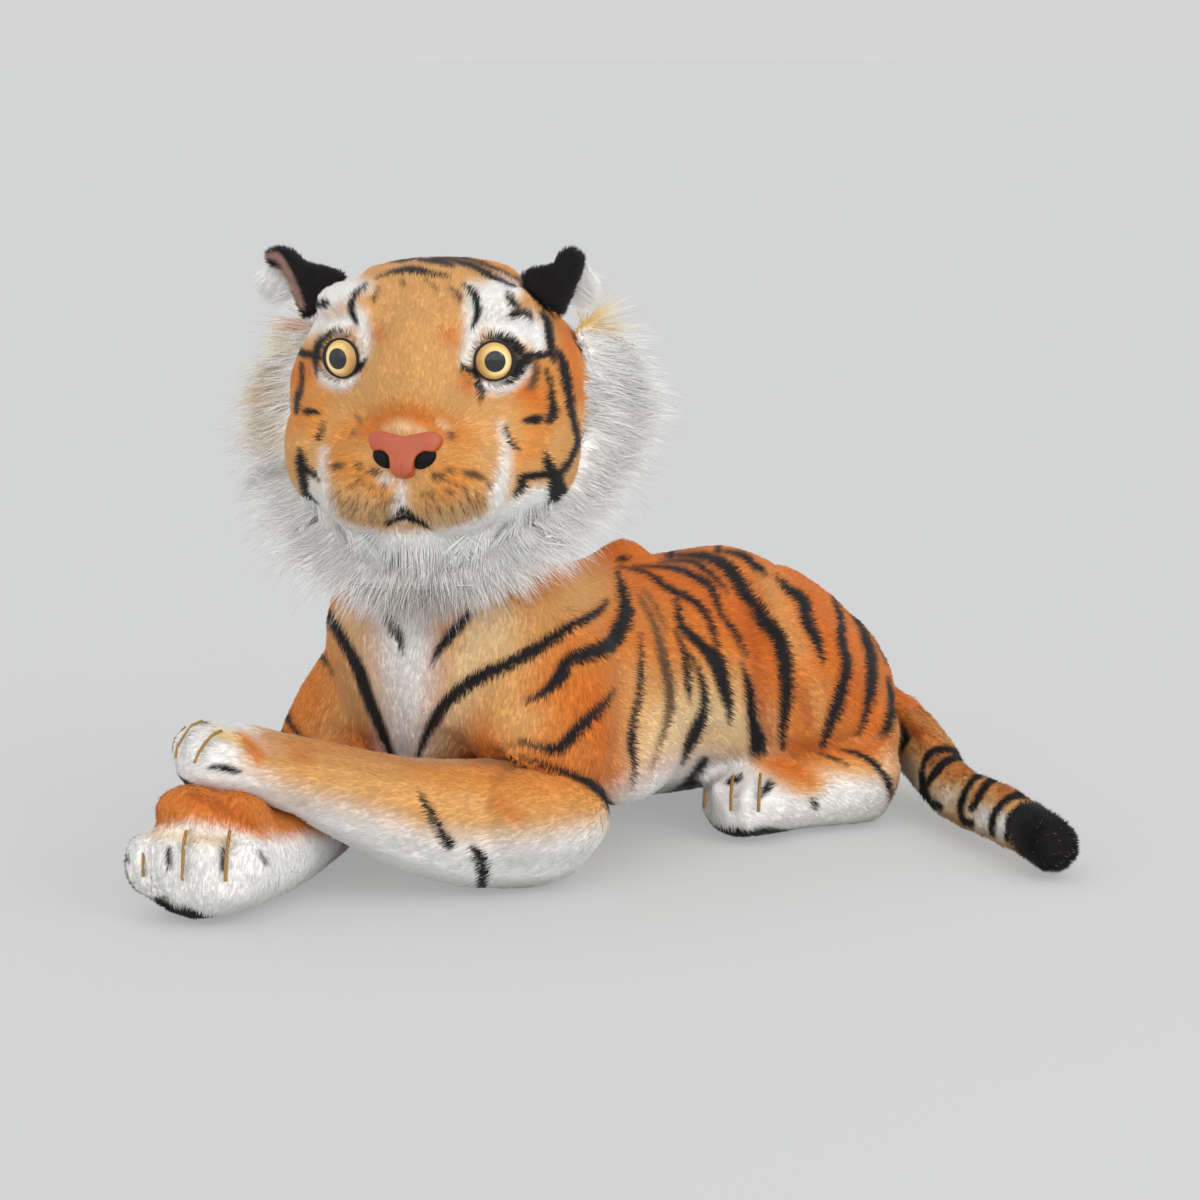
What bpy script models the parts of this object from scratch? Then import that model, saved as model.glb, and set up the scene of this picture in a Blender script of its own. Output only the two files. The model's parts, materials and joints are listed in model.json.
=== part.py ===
"""A lying plush tiger: stuffed covers of pile fabric, long-pile ruff, plastic eyes and a vinyl nose."""

import math

import bmesh
import bpy
from mathutils import Matrix, Vector
from mathutils.bvhtree import BVHTree

# Clearances, in metres
GAP = 0.0003
FABRIC = 0.004
FLOOR_CUT = 0.0005
OVERRUN = 0.02

# Torso: a barrel along Y and a chest that rises to the neck
BARREL_LENGTH = 0.358
BARREL_WIDTH = 0.184
BARREL_HEIGHT = 0.168
BARREL_REAR = 0.204
CHEST_HEIGHT = 0.196
CHEST_WIDTH = 0.176
CHEST_DEPTH = 0.172
CHEST_PLACE = -0.120

# Neck: a ball that carries the head
NECK_RADIUS = 0.050
NECK_RISE = 0.009
NECK_PLACE = -0.130

# Head, measured from the neck's pivot, facing -Y before it is turned
HEAD_TURN = math.radians(36.5)
HEAD_WIDTH = 0.194
HEAD_DEPTH = 0.182
HEAD_BOTTOM = 0.008
HEAD_HEIGHT = 0.164
HEAD_FORWARD = 0.008

# Muzzle and chin
MUZZLE_WIDTH = 0.106
MUZZLE_HEIGHT = 0.076
MUZZLE_REACH = 0.128
MUZZLE_RISE = 0.053
CHIN_WIDTH = 0.070
CHIN_HEIGHT = 0.036
CHIN_REACH = 0.108
CHIN_RISE = 0.020

# Eyes
EYE_SPACING = 0.092
EYE_RISE = 0.1206
EYE_DIAMETER = 0.026
EYE_DOME = 0.007
EYE_SPLAY = math.radians(20)
PUPIL_DIAMETER = 0.012
IRIS_THICKNESS = 0.0016
STEM_DIAMETER = 0.006
STEM_LENGTH = 0.011
WASHER_DIAMETER = 0.018
WASHER_THICKNESS = 0.002

# Nose and mouth
NOSE_WIDTH = 0.042
NOSE_HEIGHT = 0.030
NOSE_THICKNESS = 0.008
NOSE_RISE = 0.062
NOSE_TILT = math.radians(24)
MOUTH_WIDTH = 0.030
MOUTH_RISE = 0.032
MOUTH_THREAD = 0.0030
MOUTH_PLACE_SHARES = (-1.0, -0.66, -0.33, 0.0, 0.33, 0.66, 1.0)

# Ears
EAR_WIDTH = 0.038
EAR_HEIGHT = 0.038
EAR_THICKNESS = 0.011
EAR_LEAN = math.radians(44)
EAR_SIDE = 0.052
EAR_FORWARD = 0.030
EAR_RISE = 0.141
EAR_PROBES = 9

# Ruff of long pile
RUFF_SIDE_REACH = 0.040
RUFF_CHIN_REACH = 0.042
RUFF_THICKNESS = 0.044
RUFF_CENTRE_RISE = 0.088
RUFF_BIB_FORWARD = 0.074
RUFF_BIB_TIP_FORWARD = 0.104
RUFF_BIB_THICKNESS = 0.030
RUFF_SWEEP = 0.012
RUFF_FADE_SHARE = 0.45
RUFF_SPLIT = math.radians(44)
RUFF_TOP = math.radians(120)
RUFF_SEAM = math.radians(0.4)
RUFF_STEPS = 7

# Forelegs
UPPER_ARM_WIDTH = 0.084
UPPER_ARM_DEPTH = 0.098
UPPER_ARM_HEIGHT = 0.172
SHOULDER_SIDE = 0.070
SHOULDER_PLACE = -0.104
ELBOW_SIDE = 0.082
ELBOW_PLACE = -0.134
RIGHT_ELBOW_PLACE = -0.165
FOREARM_WIDTH = 0.086
LEFT_FOREARM_INWARD = 0.122
LEFT_FOREARM_FORWARD = 0.170
LEFT_FOREARM_RISE = 0.045
RIGHT_FOREARM_INWARD = 0.084
RIGHT_FOREARM_FORWARD = 0.176
FOREPAW_CAP = 0.022

# Hind legs
HAUNCH_LENGTH = 0.150
HAUNCH_WIDTH = 0.118
HAUNCH_HEIGHT = 0.156
HAUNCH_SIDE = 0.070
HAUNCH_REAR = 0.190
HAUNCH_CAP = 0.018
HIND_FOOT_WIDTH = 0.070
HIND_FOOT_HEIGHT = 0.060
HEEL_SIDE = 0.120
HEEL_PLACE = 0.138
HIND_FOOT_LENGTH = 0.108
HIND_FOOT_INWARD = 0.036
HIND_FOOT_CAP = 0.018

# Paw pads and toe stitches
PAD_LENGTH = 0.034
PAD_WIDTH = 0.040
TOE_THREAD = 0.0024
TOE_STEPS = 4
TOE_LOW = math.radians(8)
TOE_HIGH = math.radians(80)
TOE_PLACE_SHARES = (-0.58, 0.0, 0.58)
FORE_TOE_TURN = math.radians(38)
HIND_TOE_TURN = math.radians(58)

# Tail
TAIL_WIDTH = 0.048
TAIL_ROOT_SIDE = 0.030
TAIL_ROOT_PLACE = 0.214
TAIL_LIFT = 0.034
TAIL_SIDE_REACH = 0.264
TAIL_FORWARD_REACH = 0.110
TAIL_CAP = 0.014
TAIL_SEAT_SHARE = 0.62

# Angles that moving pieces need free
ELBOW_LIFT = math.radians(15)
TAIL_SWING_OUT = math.radians(30)
TAIL_SWING_IN = math.radians(2)
TAIL_BEND_IN = math.radians(12)
TAIL_BEND_OUT = math.radians(28)
SWEEP_STEPS = 3

# Facets
BODY_SIDES = 18
LIMB_SIDES = 12
CORE_SIDES = 8
NECK_SIDES = 24
TRIM_SIDES = 10
THREAD_SIDES = 5

ORANGE = (0.72, 0.30, 0.07)
WHITE = (0.86, 0.84, 0.80)
CREAM = (0.84, 0.70, 0.48)
BLACK = (0.02, 0.018, 0.018)
STUFFING = (0.90, 0.90, 0.88)
CORAL = (0.72, 0.20, 0.12)
AMBER = (0.90, 0.72, 0.25)
GOLD_THREAD = (0.42, 0.26, 0.06)
CLEAR = (0.95, 0.95, 0.95)
NYLON = (0.88, 0.88, 0.86)

# Rows of a form are shares: along, side, rise, width, height
BARREL_SHARES = (
    (0.00, 0, 0.46, 0.52, 0.52),
    (0.07, 0, 0.48, 0.74, 0.70),
    (0.18, 0, 0.52, 0.92, 0.86),
    (0.36, 0, 0.555, 1.00, 0.96),
    (0.54, 0, 0.57, 0.95, 0.95),
    (0.72, 0, 0.60, 0.94, 0.98),
    (0.88, 0, 0.64, 0.90, 0.98),
    (1.00, 0, 0.66, 0.70, 0.80),
)
CHEST_SHARES = (
    (0.09, -0.06, 0, 0.66, 0.46),
    (0.26, -0.04, 0, 0.90, 0.66),
    (0.48, -0.02, 0, 1.00, 0.84),
    (0.70, 0.01, 0, 1.02, 0.95),
    (0.87, 0.03, 0, 0.92, 0.88),
    (1.00, 0.04, 0, 0.68, 0.68),
)
HEAD_SHARES = (
    (0.00, 0.10, 0, 0.56, 0.56),
    (0.10, 0.06, 0, 0.76, 0.76),
    (0.26, 0.00, 0, 0.95, 0.94),
    (0.46, -0.02, 0, 1.00, 1.00),
    (0.66, 0.00, 0, 0.97, 0.98),
    (0.82, 0.03, 0, 0.84, 0.84),
    (0.93, 0.04, 0, 0.60, 0.58),
)
UPPER_ARM_SHARES = (
    (0.10, 1.00, 0, 0.80, 0.72),
    (0.26, 1.00, 0, 1.00, 0.92),
    (0.50, 0.66, 0, 1.00, 1.00),
    (0.74, 0.20, 0, 0.90, 0.94),
    (0.92, 0.00, 0, 0.62, 0.66),
)
LEFT_FOREARM_SHARES = (
    (0.00, 0.00, 0.00, 1.00, 1.00),
    (0.20, 0.05, 0.04, 0.92, 0.95),
    (0.42, 0.07, 0.34, 0.80, 0.83),
    (0.64, 0.04, 0.76, 0.72, 0.70),
    (0.82, 0.00, 0.96, 0.80, 0.62),
    (0.94, 0.00, 1.00, 0.78, 0.56),
)
RIGHT_FOREARM_SHARES = (
    (0.00, 0.00, 0.00, 0.98, 0.98),
    (0.24, -0.05, 0.10, 0.90, 0.92),
    (0.50, -0.09, 0.55, 0.82, 0.80),
    (0.70, -0.08, 0.90, 0.88, 0.72),
    (0.86, -0.03, 1.00, 1.10, 0.73),
    (0.96, 0.00, 1.05, 1.02, 0.66),
)
HAUNCH_SHARES = (
    (0.08, 0, 0.56, 0.60, 0.62),
    (0.26, 0, 0.56, 0.90, 0.90),
    (0.50, 0, 0.57, 1.00, 1.00),
    (0.74, 0, 0.56, 0.92, 0.90),
    (0.92, 0, 0.54, 0.62, 0.62),
)
HIND_FOOT_SHARES = (
    (0.00, 0.00, 0, 0.84, 0.98),
    (0.24, -0.02, 0, 0.96, 1.00),
    (0.52, -0.04, 0, 0.86, 0.84),
    (0.78, -0.02, 0, 0.98, 0.82),
    (0.94, 0.00, 0, 0.88, 0.72),
)
TAIL_SHARES = (
    (0.000, 0.00, 1.00, 1.00, 1.00),
    (0.135, -0.05, 0.71, 0.96, 0.96),
    (0.290, 0.11, 0.40, 0.88, 0.88),
    (0.440, 0.35, 0.19, 0.80, 0.80),
    (0.580, 0.545, 0.00, 0.77, 0.77),
    (0.730, 0.70, 0.00, 0.75, 0.75),
    (0.885, 0.86, 0.00, 0.77, 0.77),
    (1.000, 1.00, 0.00, 0.82, 0.82),
)
TAIL_BEND_ROW = 3
TAIL_TIP_ROW = 6
EAR_SHARES = (
    (0.00, 0.88, 0.90),
    (0.22, 1.00, 1.00),
    (0.50, 0.94, 0.92),
    (0.74, 0.74, 0.80),
    (0.90, 0.48, 0.70),
)
MUZZLE_SHARES = (
    (0.40, 1.00, 1.00),
    (0.66, 1.00, 1.00),
    (0.80, 0.90, 0.92),
    (0.90, 0.70, 0.76),
)
CHIN_SHARES = (
    (0.50, 1.00, 1.00),
    (0.76, 0.98, 1.00),
    (0.90, 0.80, 0.84),
)
NOSE_OUTLINE_SHARES = (
    (-0.50, 0.42), (-0.36, 0.52), (0.00, 0.42), (0.36, 0.52), (0.50, 0.42),
    (0.48, 0.20), (0.26, 0.02), (0.18, -0.36), (0.10, -0.50), (-0.10, -0.50),
    (-0.18, -0.36), (-0.26, 0.02), (-0.48, 0.20),
)

def start():
    """Clear the scene."""
    for thing in list(bpy.data.objects):
        bpy.data.objects.remove(thing, do_unlink=True)


def material(name, colour, roughness=0.9, metallic=0.0):
    """A Principled material for one sub-part."""
    made = bpy.data.materials.new(name)
    made.use_nodes = True
    shader = made.node_tree.nodes["Principled BSDF"]
    shader.inputs["Base Color"].default_value = (*colour, 1)
    shader.inputs["Roughness"].default_value = roughness
    shader.inputs["Metallic"].default_value = metallic
    return made


def from_bmesh(name, shape):
    """An object from a bmesh, with its faces pointing out."""
    bmesh.ops.recalc_face_normals(shape, faces=shape.faces)
    mesh = bpy.data.meshes.new(name)
    shape.to_mesh(mesh)
    shape.free()
    thing = bpy.data.objects.new(name, mesh)
    bpy.context.scene.collection.objects.link(thing)
    return thing


def smooth_rows(rows, steps):
    """Rows read from a smooth curve through the given ones."""
    padded = [rows[0]] + list(rows) + [rows[-1]]
    found = []
    for index in range(1, len(padded) - 2):
        before, here, after, beyond = padded[index - 1:index + 3]
        for step in range(steps):
            t = step / steps
            found.append([
                0.5 * (2 * b + (c - a) * t + (2 * a - 5 * b + 4 * c - d) * t ** 2
                       + (3 * b - a - 3 * c + d) * t ** 3)
                for a, b, c, d in zip(before, here, after, beyond)
            ])
    found.append(list(rows[-1]))
    return found


def resting_height(height, sides):
    """How high a ring's centre lies when its lowest flat side is just cut off by the floor."""
    return height / 2 * math.cos(math.pi / sides) - FLOOR_CUT


class Form:
    """A stuffed form: elliptical rings along a path, with round or flat ends."""

    def __init__(self, rows, way=None, side=Vector((1, 0, 0)), caps=(0, 0), steps=2, floor=None):
        self.rows = [tuple(row) for row in smooth_rows(rows, steps)]
        self.way = way
        self.side = side
        self.caps = caps
        self.floor = floor

    def ways(self):
        """The direction of the path at each row."""
        if self.way is not None:
            return [self.way] * len(self.rows)
        centres = [Vector(row[:3]) for row in self.rows]
        last = len(centres) - 1
        return [
            (centres[min(i + 1, last)] - centres[max(i - 1, 0)]).normalized()
            for i in range(len(centres))
        ]

    def ring_places(self, grow, cap_rings):
        """Centre, direction and half sizes of every ring, the round ends included."""
        ways = self.ways()
        rings = []
        for centre, way, (width, height) in zip(
            (Vector(row[:3]) for row in self.rows), ways, (row[3:5] for row in self.rows)
        ):
            rings.append((centre, way, width / 2 + grow, height / 2 + grow))
        for end, sign in ((0, -1), (-1, 1)):
            reach = self.caps[end]
            if reach == 0:
                continue
            centre, way, width, height = rings[end]
            extra = []
            for step in range(1, cap_rings + 1):
                angle = math.pi / 2 * step / (cap_rings + 1)
                extra.append((
                    centre + way * sign * (reach + grow) * math.sin(angle),
                    way,
                    width * math.cos(angle),
                    height * math.cos(angle),
                ))
            rings = extra[::-1] + rings if end == 0 else rings + extra
        return rings

    def build(self, name, grow=0.0, sides=LIMB_SIDES, cap_rings=2, skip=1, extend=(0, 0)):
        """The closed solid of the form, grown or shrunk all round."""
        rings = self.ring_places(grow, cap_rings)
        if skip > 1:
            kept = rings[::skip]
            rings = kept if kept[-1] is rings[-1] else kept + [rings[-1]]
        if extend[0]:
            centre, way, width, height = rings[0]
            rings[0] = (centre - way * extend[0], way, width, height)
        if extend[1]:
            centre, way, width, height = rings[-1]
            rings[-1] = (centre + way * extend[1], way, width, height)
        shape = bmesh.new()
        loops = []
        for centre, way, width, height in rings:
            across = (self.side - way * self.side.dot(way)).normalized()
            upward = way.cross(across)
            loop = []
            for step in range(sides):
                angle = 2 * math.pi * (step + 0.5) / sides
                point = centre + across * width * math.cos(angle) + upward * height * math.sin(angle)
                if self.floor is not None:
                    point.z = max(point.z, self.floor + max(-grow, 0))
                loop.append(shape.verts.new(point))
            loops.append(loop)
        for near, far in zip(loops, loops[1:]):
            for step in range(sides):
                ahead = (step + 1) % sides
                shape.faces.new((near[step], near[ahead], far[ahead]))
                shape.faces.new((near[step], far[ahead], far[step]))
        for end, loop, sign in ((0, loops[0], -1), (1, loops[-1], 1)):
            if self.caps[end] == 0 or extend[end]:
                shape.faces.new(loop)
                continue
            row = self.rows[0 if end == 0 else -1]
            way = self.ways()[0 if end == 0 else -1]
            tip = Vector(row[:3]) + way * sign * (self.caps[end] + grow)
            pole = shape.verts.new(tip)
            for step in range(sides):
                shape.faces.new((loop[step], loop[(step + 1) % sides], pole))
        bmesh.ops.remove_doubles(shape, verts=shape.verts, dist=FLOOR_CUT / 50)
        return from_bmesh(name, shape)


def combine(target, tool, operation, keep=False):
    """Boolean the tool into the target and, unless it is kept, remove the tool."""
    modifier = target.modifiers.new("cut", "BOOLEAN")
    modifier.operation = operation
    modifier.object = tool
    modifier.solver = "EXACT"
    evaluated = target.evaluated_get(bpy.context.evaluated_depsgraph_get())
    mesh = bpy.data.meshes.new_from_object(evaluated)
    target.modifiers.clear()
    target.data = mesh
    if not keep:
        bpy.data.objects.remove(tool, do_unlink=True)
    return target


def cut(target, tool, keep=False):
    """Take the tool out of the target."""
    return combine(target, tool, "DIFFERENCE", keep)


def join(target, tool, keep=False):
    """Add the tool to the target."""
    return combine(target, tool, "UNION", keep)


def turned(name, profile, sides=LIMB_SIDES):
    """A solid of revolution about Z; profile rows are radius and height, bottom to top."""
    shape = bmesh.new()
    loops = []
    for radius, height in profile:
        if radius == 0:
            loops.append([shape.verts.new((0, 0, height))])
            continue
        loops.append([
            shape.verts.new((
                radius * math.cos(2 * math.pi * step / sides),
                radius * math.sin(2 * math.pi * step / sides),
                height,
            ))
            for step in range(sides)
        ])
    for near, far in zip(loops, loops[1:]):
        for step in range(sides):
            ahead = (step + 1) % sides
            ring = [near[step % len(near)], near[ahead % len(near)], far[ahead % len(far)], far[step % len(far)]]
            shape.faces.new(list(dict.fromkeys(ring)))
    for loop in (loops[0], loops[-1]):
        if len(loop) > 1:
            shape.faces.new(loop)
    return from_bmesh(name, shape)


def ball(name, centre, radius, sides=BODY_SIDES):
    """A closed ball."""
    rings = sides // 2
    profile = [
        (radius * math.sin(math.pi * step / rings) if 0 < step < rings else 0,
         -radius * math.cos(math.pi * step / rings))
        for step in range(rings + 1)
    ]
    made = turned(name, profile, sides)
    made.data.transform(Matrix.Translation(centre))
    return made


def seat(name, centre, radius):
    """A ball that clears a turning ball of this radius however their flats meet."""
    return ball(name, centre, (radius + GAP) / math.cos(math.pi / BODY_SIDES) ** 2)


def neck_ball(name, radius):
    """A ball faceted about the axis that the head nods on."""
    made = ball(name, Vector(), radius, NECK_SIDES)
    made.data.transform(Matrix.Rotation(math.pi / 2, 4, "Y"))
    return made


def tube(name, points, thickness, sides=THREAD_SIDES):
    """A round thread along points, with closed ends."""
    rows = [(*point, thickness, thickness) for point in points]
    form = Form(rows, side=Vector((0.31, 0.23, 0.92)), caps=(0, 0), steps=1)
    return form.build(name, sides=sides)


def without_offcuts(thing):
    """Drop the slivers that a cut leaves loose beside the piece."""
    shape = bmesh.new()
    shape.from_mesh(thing.data)
    unseen = set(shape.verts)
    groups = []
    while unseen:
        group = set()
        front = [unseen.pop()]
        while front:
            vertex = front.pop()
            group.add(vertex)
            for edge in vertex.link_edges:
                other = edge.other_vert(vertex)
                if other in unseen:
                    unseen.remove(other)
                    front.append(other)
        groups.append(group)
    largest = max(groups, key=len)
    extra = [vertex for group in groups if group is not largest for vertex in group]
    bmesh.ops.delete(shape, geom=extra, context="VERTS")
    shape.to_mesh(thing.data)
    shape.free()


def finish(thing, name, look, pivot=None):
    """Name the piece, give it its material and put its origin on its pivot."""
    without_offcuts(thing)
    thing.name = name
    thing.data.name = name
    thing.data.materials.clear()
    thing.data.materials.append(look)
    for polygon in thing.data.polygons:
        polygon.material_index = 0
    thing.data.shade_smooth()
    thing.data.set_sharp_from_angle(angle=math.radians(50))
    if pivot is not None:
        place = pivot.matrix_world.copy()
        thing.data.transform(place.inverted())
        thing.parent = pivot
    return thing


def empty(name, location, turn=0.0, parent=None):
    """A pivot that moving pieces are parented to."""
    made = bpy.data.objects.new(name, None)
    bpy.context.scene.collection.objects.link(made)
    made.parent = parent
    made.location = location
    made.rotation_euler = (0, 0, turn)
    bpy.context.view_layer.update()
    return made


def surface(thing):
    """A tree for casting rays at a solid."""
    shape = bmesh.new()
    shape.from_mesh(thing.data)
    tree = BVHTree.FromBMesh(shape)
    shape.free()
    return tree


def barrel_form():
    """The barrel of the body, rear to front."""
    rows = [
        (0, BARREL_REAR - along * BARREL_LENGTH, rise * BARREL_HEIGHT,
         width * BARREL_WIDTH, height * BARREL_HEIGHT)
        for along, side, rise, width, height in BARREL_SHARES
    ]
    return Form(rows, way=Vector((0, -1, 0)), caps=(BARREL_HEIGHT / 9, BARREL_HEIGHT / 9))


def chest_form():
    """The chest, floor to neck."""
    rows = [
        (0, CHEST_PLACE - forward * CHEST_DEPTH, along * CHEST_HEIGHT,
         width * CHEST_WIDTH, depth * CHEST_DEPTH)
        for along, forward, rise, width, depth in CHEST_SHARES
    ]
    return Form(rows, way=Vector((0, 0, 1)), caps=(CHEST_HEIGHT / 18, 0))


def upper_arm_form(sign, elbow_place):
    """One upper arm, elbow to shoulder."""
    rows = []
    for along, bend, rise, width, depth in UPPER_ARM_SHARES:
        rows.append((
            sign * (SHOULDER_SIDE + bend * (ELBOW_SIDE - SHOULDER_SIDE)),
            SHOULDER_PLACE + bend * (elbow_place - SHOULDER_PLACE),
            along * UPPER_ARM_HEIGHT,
            width * UPPER_ARM_WIDTH,
            depth * UPPER_ARM_DEPTH,
        ))
    return Form(rows, way=Vector((0, 0, 1)), caps=(UPPER_ARM_HEIGHT / 18, UPPER_ARM_HEIGHT / 14))


def forearm_form(sign, elbow, shares, inward, forward, rise):
    """One forearm and paw, elbow to toes."""
    along_floor = Vector((-sign * inward, -forward, 0))
    across = Vector((forward, -sign * inward, 0)).normalized() * sign
    rows = []
    for along, side, lift, width, height in shares:
        centre = elbow + along_floor * along + across * side * along_floor.length
        z = elbow.z + lift * rise if rise else resting_height(height * FOREARM_WIDTH, LIMB_SIDES)
        rows.append((centre.x, centre.y, z, width * FOREARM_WIDTH, height * FOREARM_WIDTH))
    return Form(
        rows, side=Vector((forward, -sign * inward, 0)).normalized(),
        caps=(FOREARM_WIDTH / 2, FOREPAW_CAP), floor=0,
    )


def haunch_form(sign):
    """One thigh, rear to front."""
    rows = [
        (sign * HAUNCH_SIDE, HAUNCH_REAR - along * HAUNCH_LENGTH, rise * HAUNCH_HEIGHT,
         width * HAUNCH_WIDTH, height * HAUNCH_HEIGHT)
        for along, side, rise, width, height in HAUNCH_SHARES
    ]
    return Form(rows, way=Vector((0, -1, 0)), caps=(HAUNCH_CAP, HAUNCH_CAP))


def hind_foot_form(sign):
    """One lower hind leg, heel to toes."""
    rows = []
    for along, side, rise, width, height in HIND_FOOT_SHARES:
        rows.append((
            sign * (HEEL_SIDE - along * HIND_FOOT_INWARD + side * HIND_FOOT_LENGTH),
            HEEL_PLACE - along * HIND_FOOT_LENGTH,
            resting_height(height * HIND_FOOT_HEIGHT, LIMB_SIDES),
            width * HIND_FOOT_WIDTH,
            height * HIND_FOOT_HEIGHT,
        ))
    return Form(rows, caps=(HIND_FOOT_CAP, HIND_FOOT_CAP), floor=0)


def tail_rows():
    """Rows of the whole tail, root to tip, lying on the floor past its first bend."""
    rows = []
    for side, forward, lift, width, height in TAIL_SHARES:
        rows.append((
            TAIL_ROOT_SIDE + side * TAIL_SIDE_REACH,
            TAIL_ROOT_PLACE - forward * TAIL_FORWARD_REACH,
            resting_height(height * TAIL_WIDTH, CORE_SIDES) + lift * TAIL_LIFT,
            width * TAIL_WIDTH,
            height * TAIL_WIDTH,
        ))
    return rows


def sweep(form, place, axis, angles, sides=LIMB_SIDES):
    """Cutters that clear a form's way as it turns about an axis through its round end."""
    tools = [seat("seat", place, form.rows[0][3] / 2)]
    tail = Form(form.rows, way=form.way, side=form.side, caps=(0, form.caps[1]), steps=1)
    for angle in angles:
        tool = tail.build("sweep", grow=GAP, sides=sides)
        turn = Matrix.Translation(place) @ Matrix.Rotation(angle, 4, axis) @ Matrix.Translation(-place)
        tool.data.transform(turn)
        tools.append(tool)
    return tools


def steps_between(low, high):
    """Angles from low to high for a sweep, the rest pose among them."""
    return [0] + [low + (high - low) * step / SWEEP_STEPS for step in range(SWEEP_STEPS + 1)]


def cut_all(targets, tools):
    """Take every tool out of every target, then remove the tools."""
    for tool in tools:
        for target in targets:
            cut(target, tool, keep=True)
        bpy.data.objects.remove(tool, do_unlink=True)


def stuffed(form, sides, skip=2, extend=(0, 0)):
    """A cover with its stuffing: the cover opens where the form is sewn on."""
    cover = form.build("cover", sides=sides)
    cavity = form.build("cavity", grow=-FABRIC, sides=CORE_SIDES, skip=skip, extend=extend)
    core = form.build("core", grow=-FABRIC - GAP, sides=CORE_SIDES, skip=skip)
    cut(cover, cavity)
    return cover, core


def torso_cutter():
    """The torso's outer shape with the clearance that neighbours keep."""
    return join(
        barrel_form().build("torso_cutter", grow=GAP, sides=BODY_SIDES),
        chest_form().build("chest_cutter", grow=GAP, sides=BODY_SIDES),
    )


def torso():
    """The torso's cover, open at the neck, and its stuffing."""
    barrel = barrel_form()
    chest = chest_form()
    cover = join(barrel.build("cover", sides=BODY_SIDES), chest.build("chest", sides=BODY_SIDES))
    cavity = join(
        barrel.build("cavity", grow=-FABRIC, sides=LIMB_SIDES, skip=2),
        chest.build("chest", grow=-FABRIC, sides=LIMB_SIDES, skip=2, extend=(0, OVERRUN)),
    )
    core = join(
        barrel.build("core", grow=-FABRIC - GAP, sides=LIMB_SIDES, skip=2),
        chest.build("chest", grow=-FABRIC - GAP, sides=LIMB_SIDES, skip=2),
    )
    cut(cover, cavity)
    return cover, core


def pad_on(form, centre, length, width, facing, targets):
    """A thin paw pad let into the underside of a paw."""
    thickness = FABRIC / 2
    outline = [
        (math.cos(2 * math.pi * step / TRIM_SIDES), math.sin(2 * math.pi * step / TRIM_SIDES))
        for step in range(TRIM_SIDES)
    ]
    across = Vector((facing.y, -facing.x, 0))

    def column(grow):
        shape = bmesh.new()
        ring = [
            shape.verts.new(
                centre + facing * x * (length / 2 + grow) + across * y * (width / 2 + grow)
                - Vector((0, 0, centre.z + OVERRUN))
            )
            for x, y in outline
        ]
        face = shape.faces.new(ring)
        grown = bmesh.ops.extrude_face_region(shape, geom=[face])
        verts = [part for part in grown["geom"] if isinstance(part, bmesh.types.BMVert)]
        bmesh.ops.translate(shape, verts=verts, vec=Vector((0, 0, centre.z + OVERRUN)))
        return from_bmesh("column", shape)

    pad = form.build("pad", sides=LIMB_SIDES)
    combine(pad, column(0), "INTERSECT")
    cut(pad, form.build("inner", grow=-thickness, sides=LIMB_SIDES))
    pocket = column(GAP)
    cut(pocket, form.build("inner", grow=-thickness - GAP, sides=LIMB_SIDES))
    cut_all(targets, [pocket])
    return pad


def toe_stitches(forms, tree, centre, facing, width, turn):
    """Threads that draw in the toes, laid over the front of a paw, which is rolled by the turn."""
    facing = facing.copy()
    facing.rotate(Matrix.Rotation(turn, 3, "Z"))
    across = Vector((facing.y, -facing.x, 0))
    threads = []
    for share in TOE_PLACE_SHARES:
        base = centre + across * share * width / 2
        points = []
        for step in range(TOE_STEPS + 1):
            angle = TOE_LOW + (TOE_HIGH - TOE_LOW) * step / TOE_STEPS
            way = facing * math.cos(angle) + Vector((0, 0, math.sin(angle)))
            hit = tree.ray_cast(base + way, -way)[0]
            points.append(hit + way * TOE_THREAD / 4)
        thread = tube("thread", points, TOE_THREAD)
        for form in forms:
            cut(thread, form.build("paw", grow=GAP, sides=LIMB_SIDES))
        threads.append(thread)
    return threads


def head_form():
    """The skull, neck opening to crown, facing -Y about the neck's pivot."""
    rows = [
        (0, -HEAD_FORWARD - forward * HEAD_DEPTH, HEAD_BOTTOM + along * HEAD_HEIGHT,
         width * HEAD_WIDTH, depth * HEAD_DEPTH)
        for along, forward, rise, width, depth in HEAD_SHARES
    ]
    return Form(rows, way=Vector((0, 0, 1)), caps=(0, HEAD_HEIGHT / 14))


def snout_form(shares, reach, width, height, rise):
    """The muzzle or the chin, from inside the head forwards."""
    rows = [
        (0, -along * reach, rise, across * width, upward * height)
        for along, across, upward in shares
    ]
    return Form(rows, way=Vector((0, -1, 0)), caps=(0, reach / 14))


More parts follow.
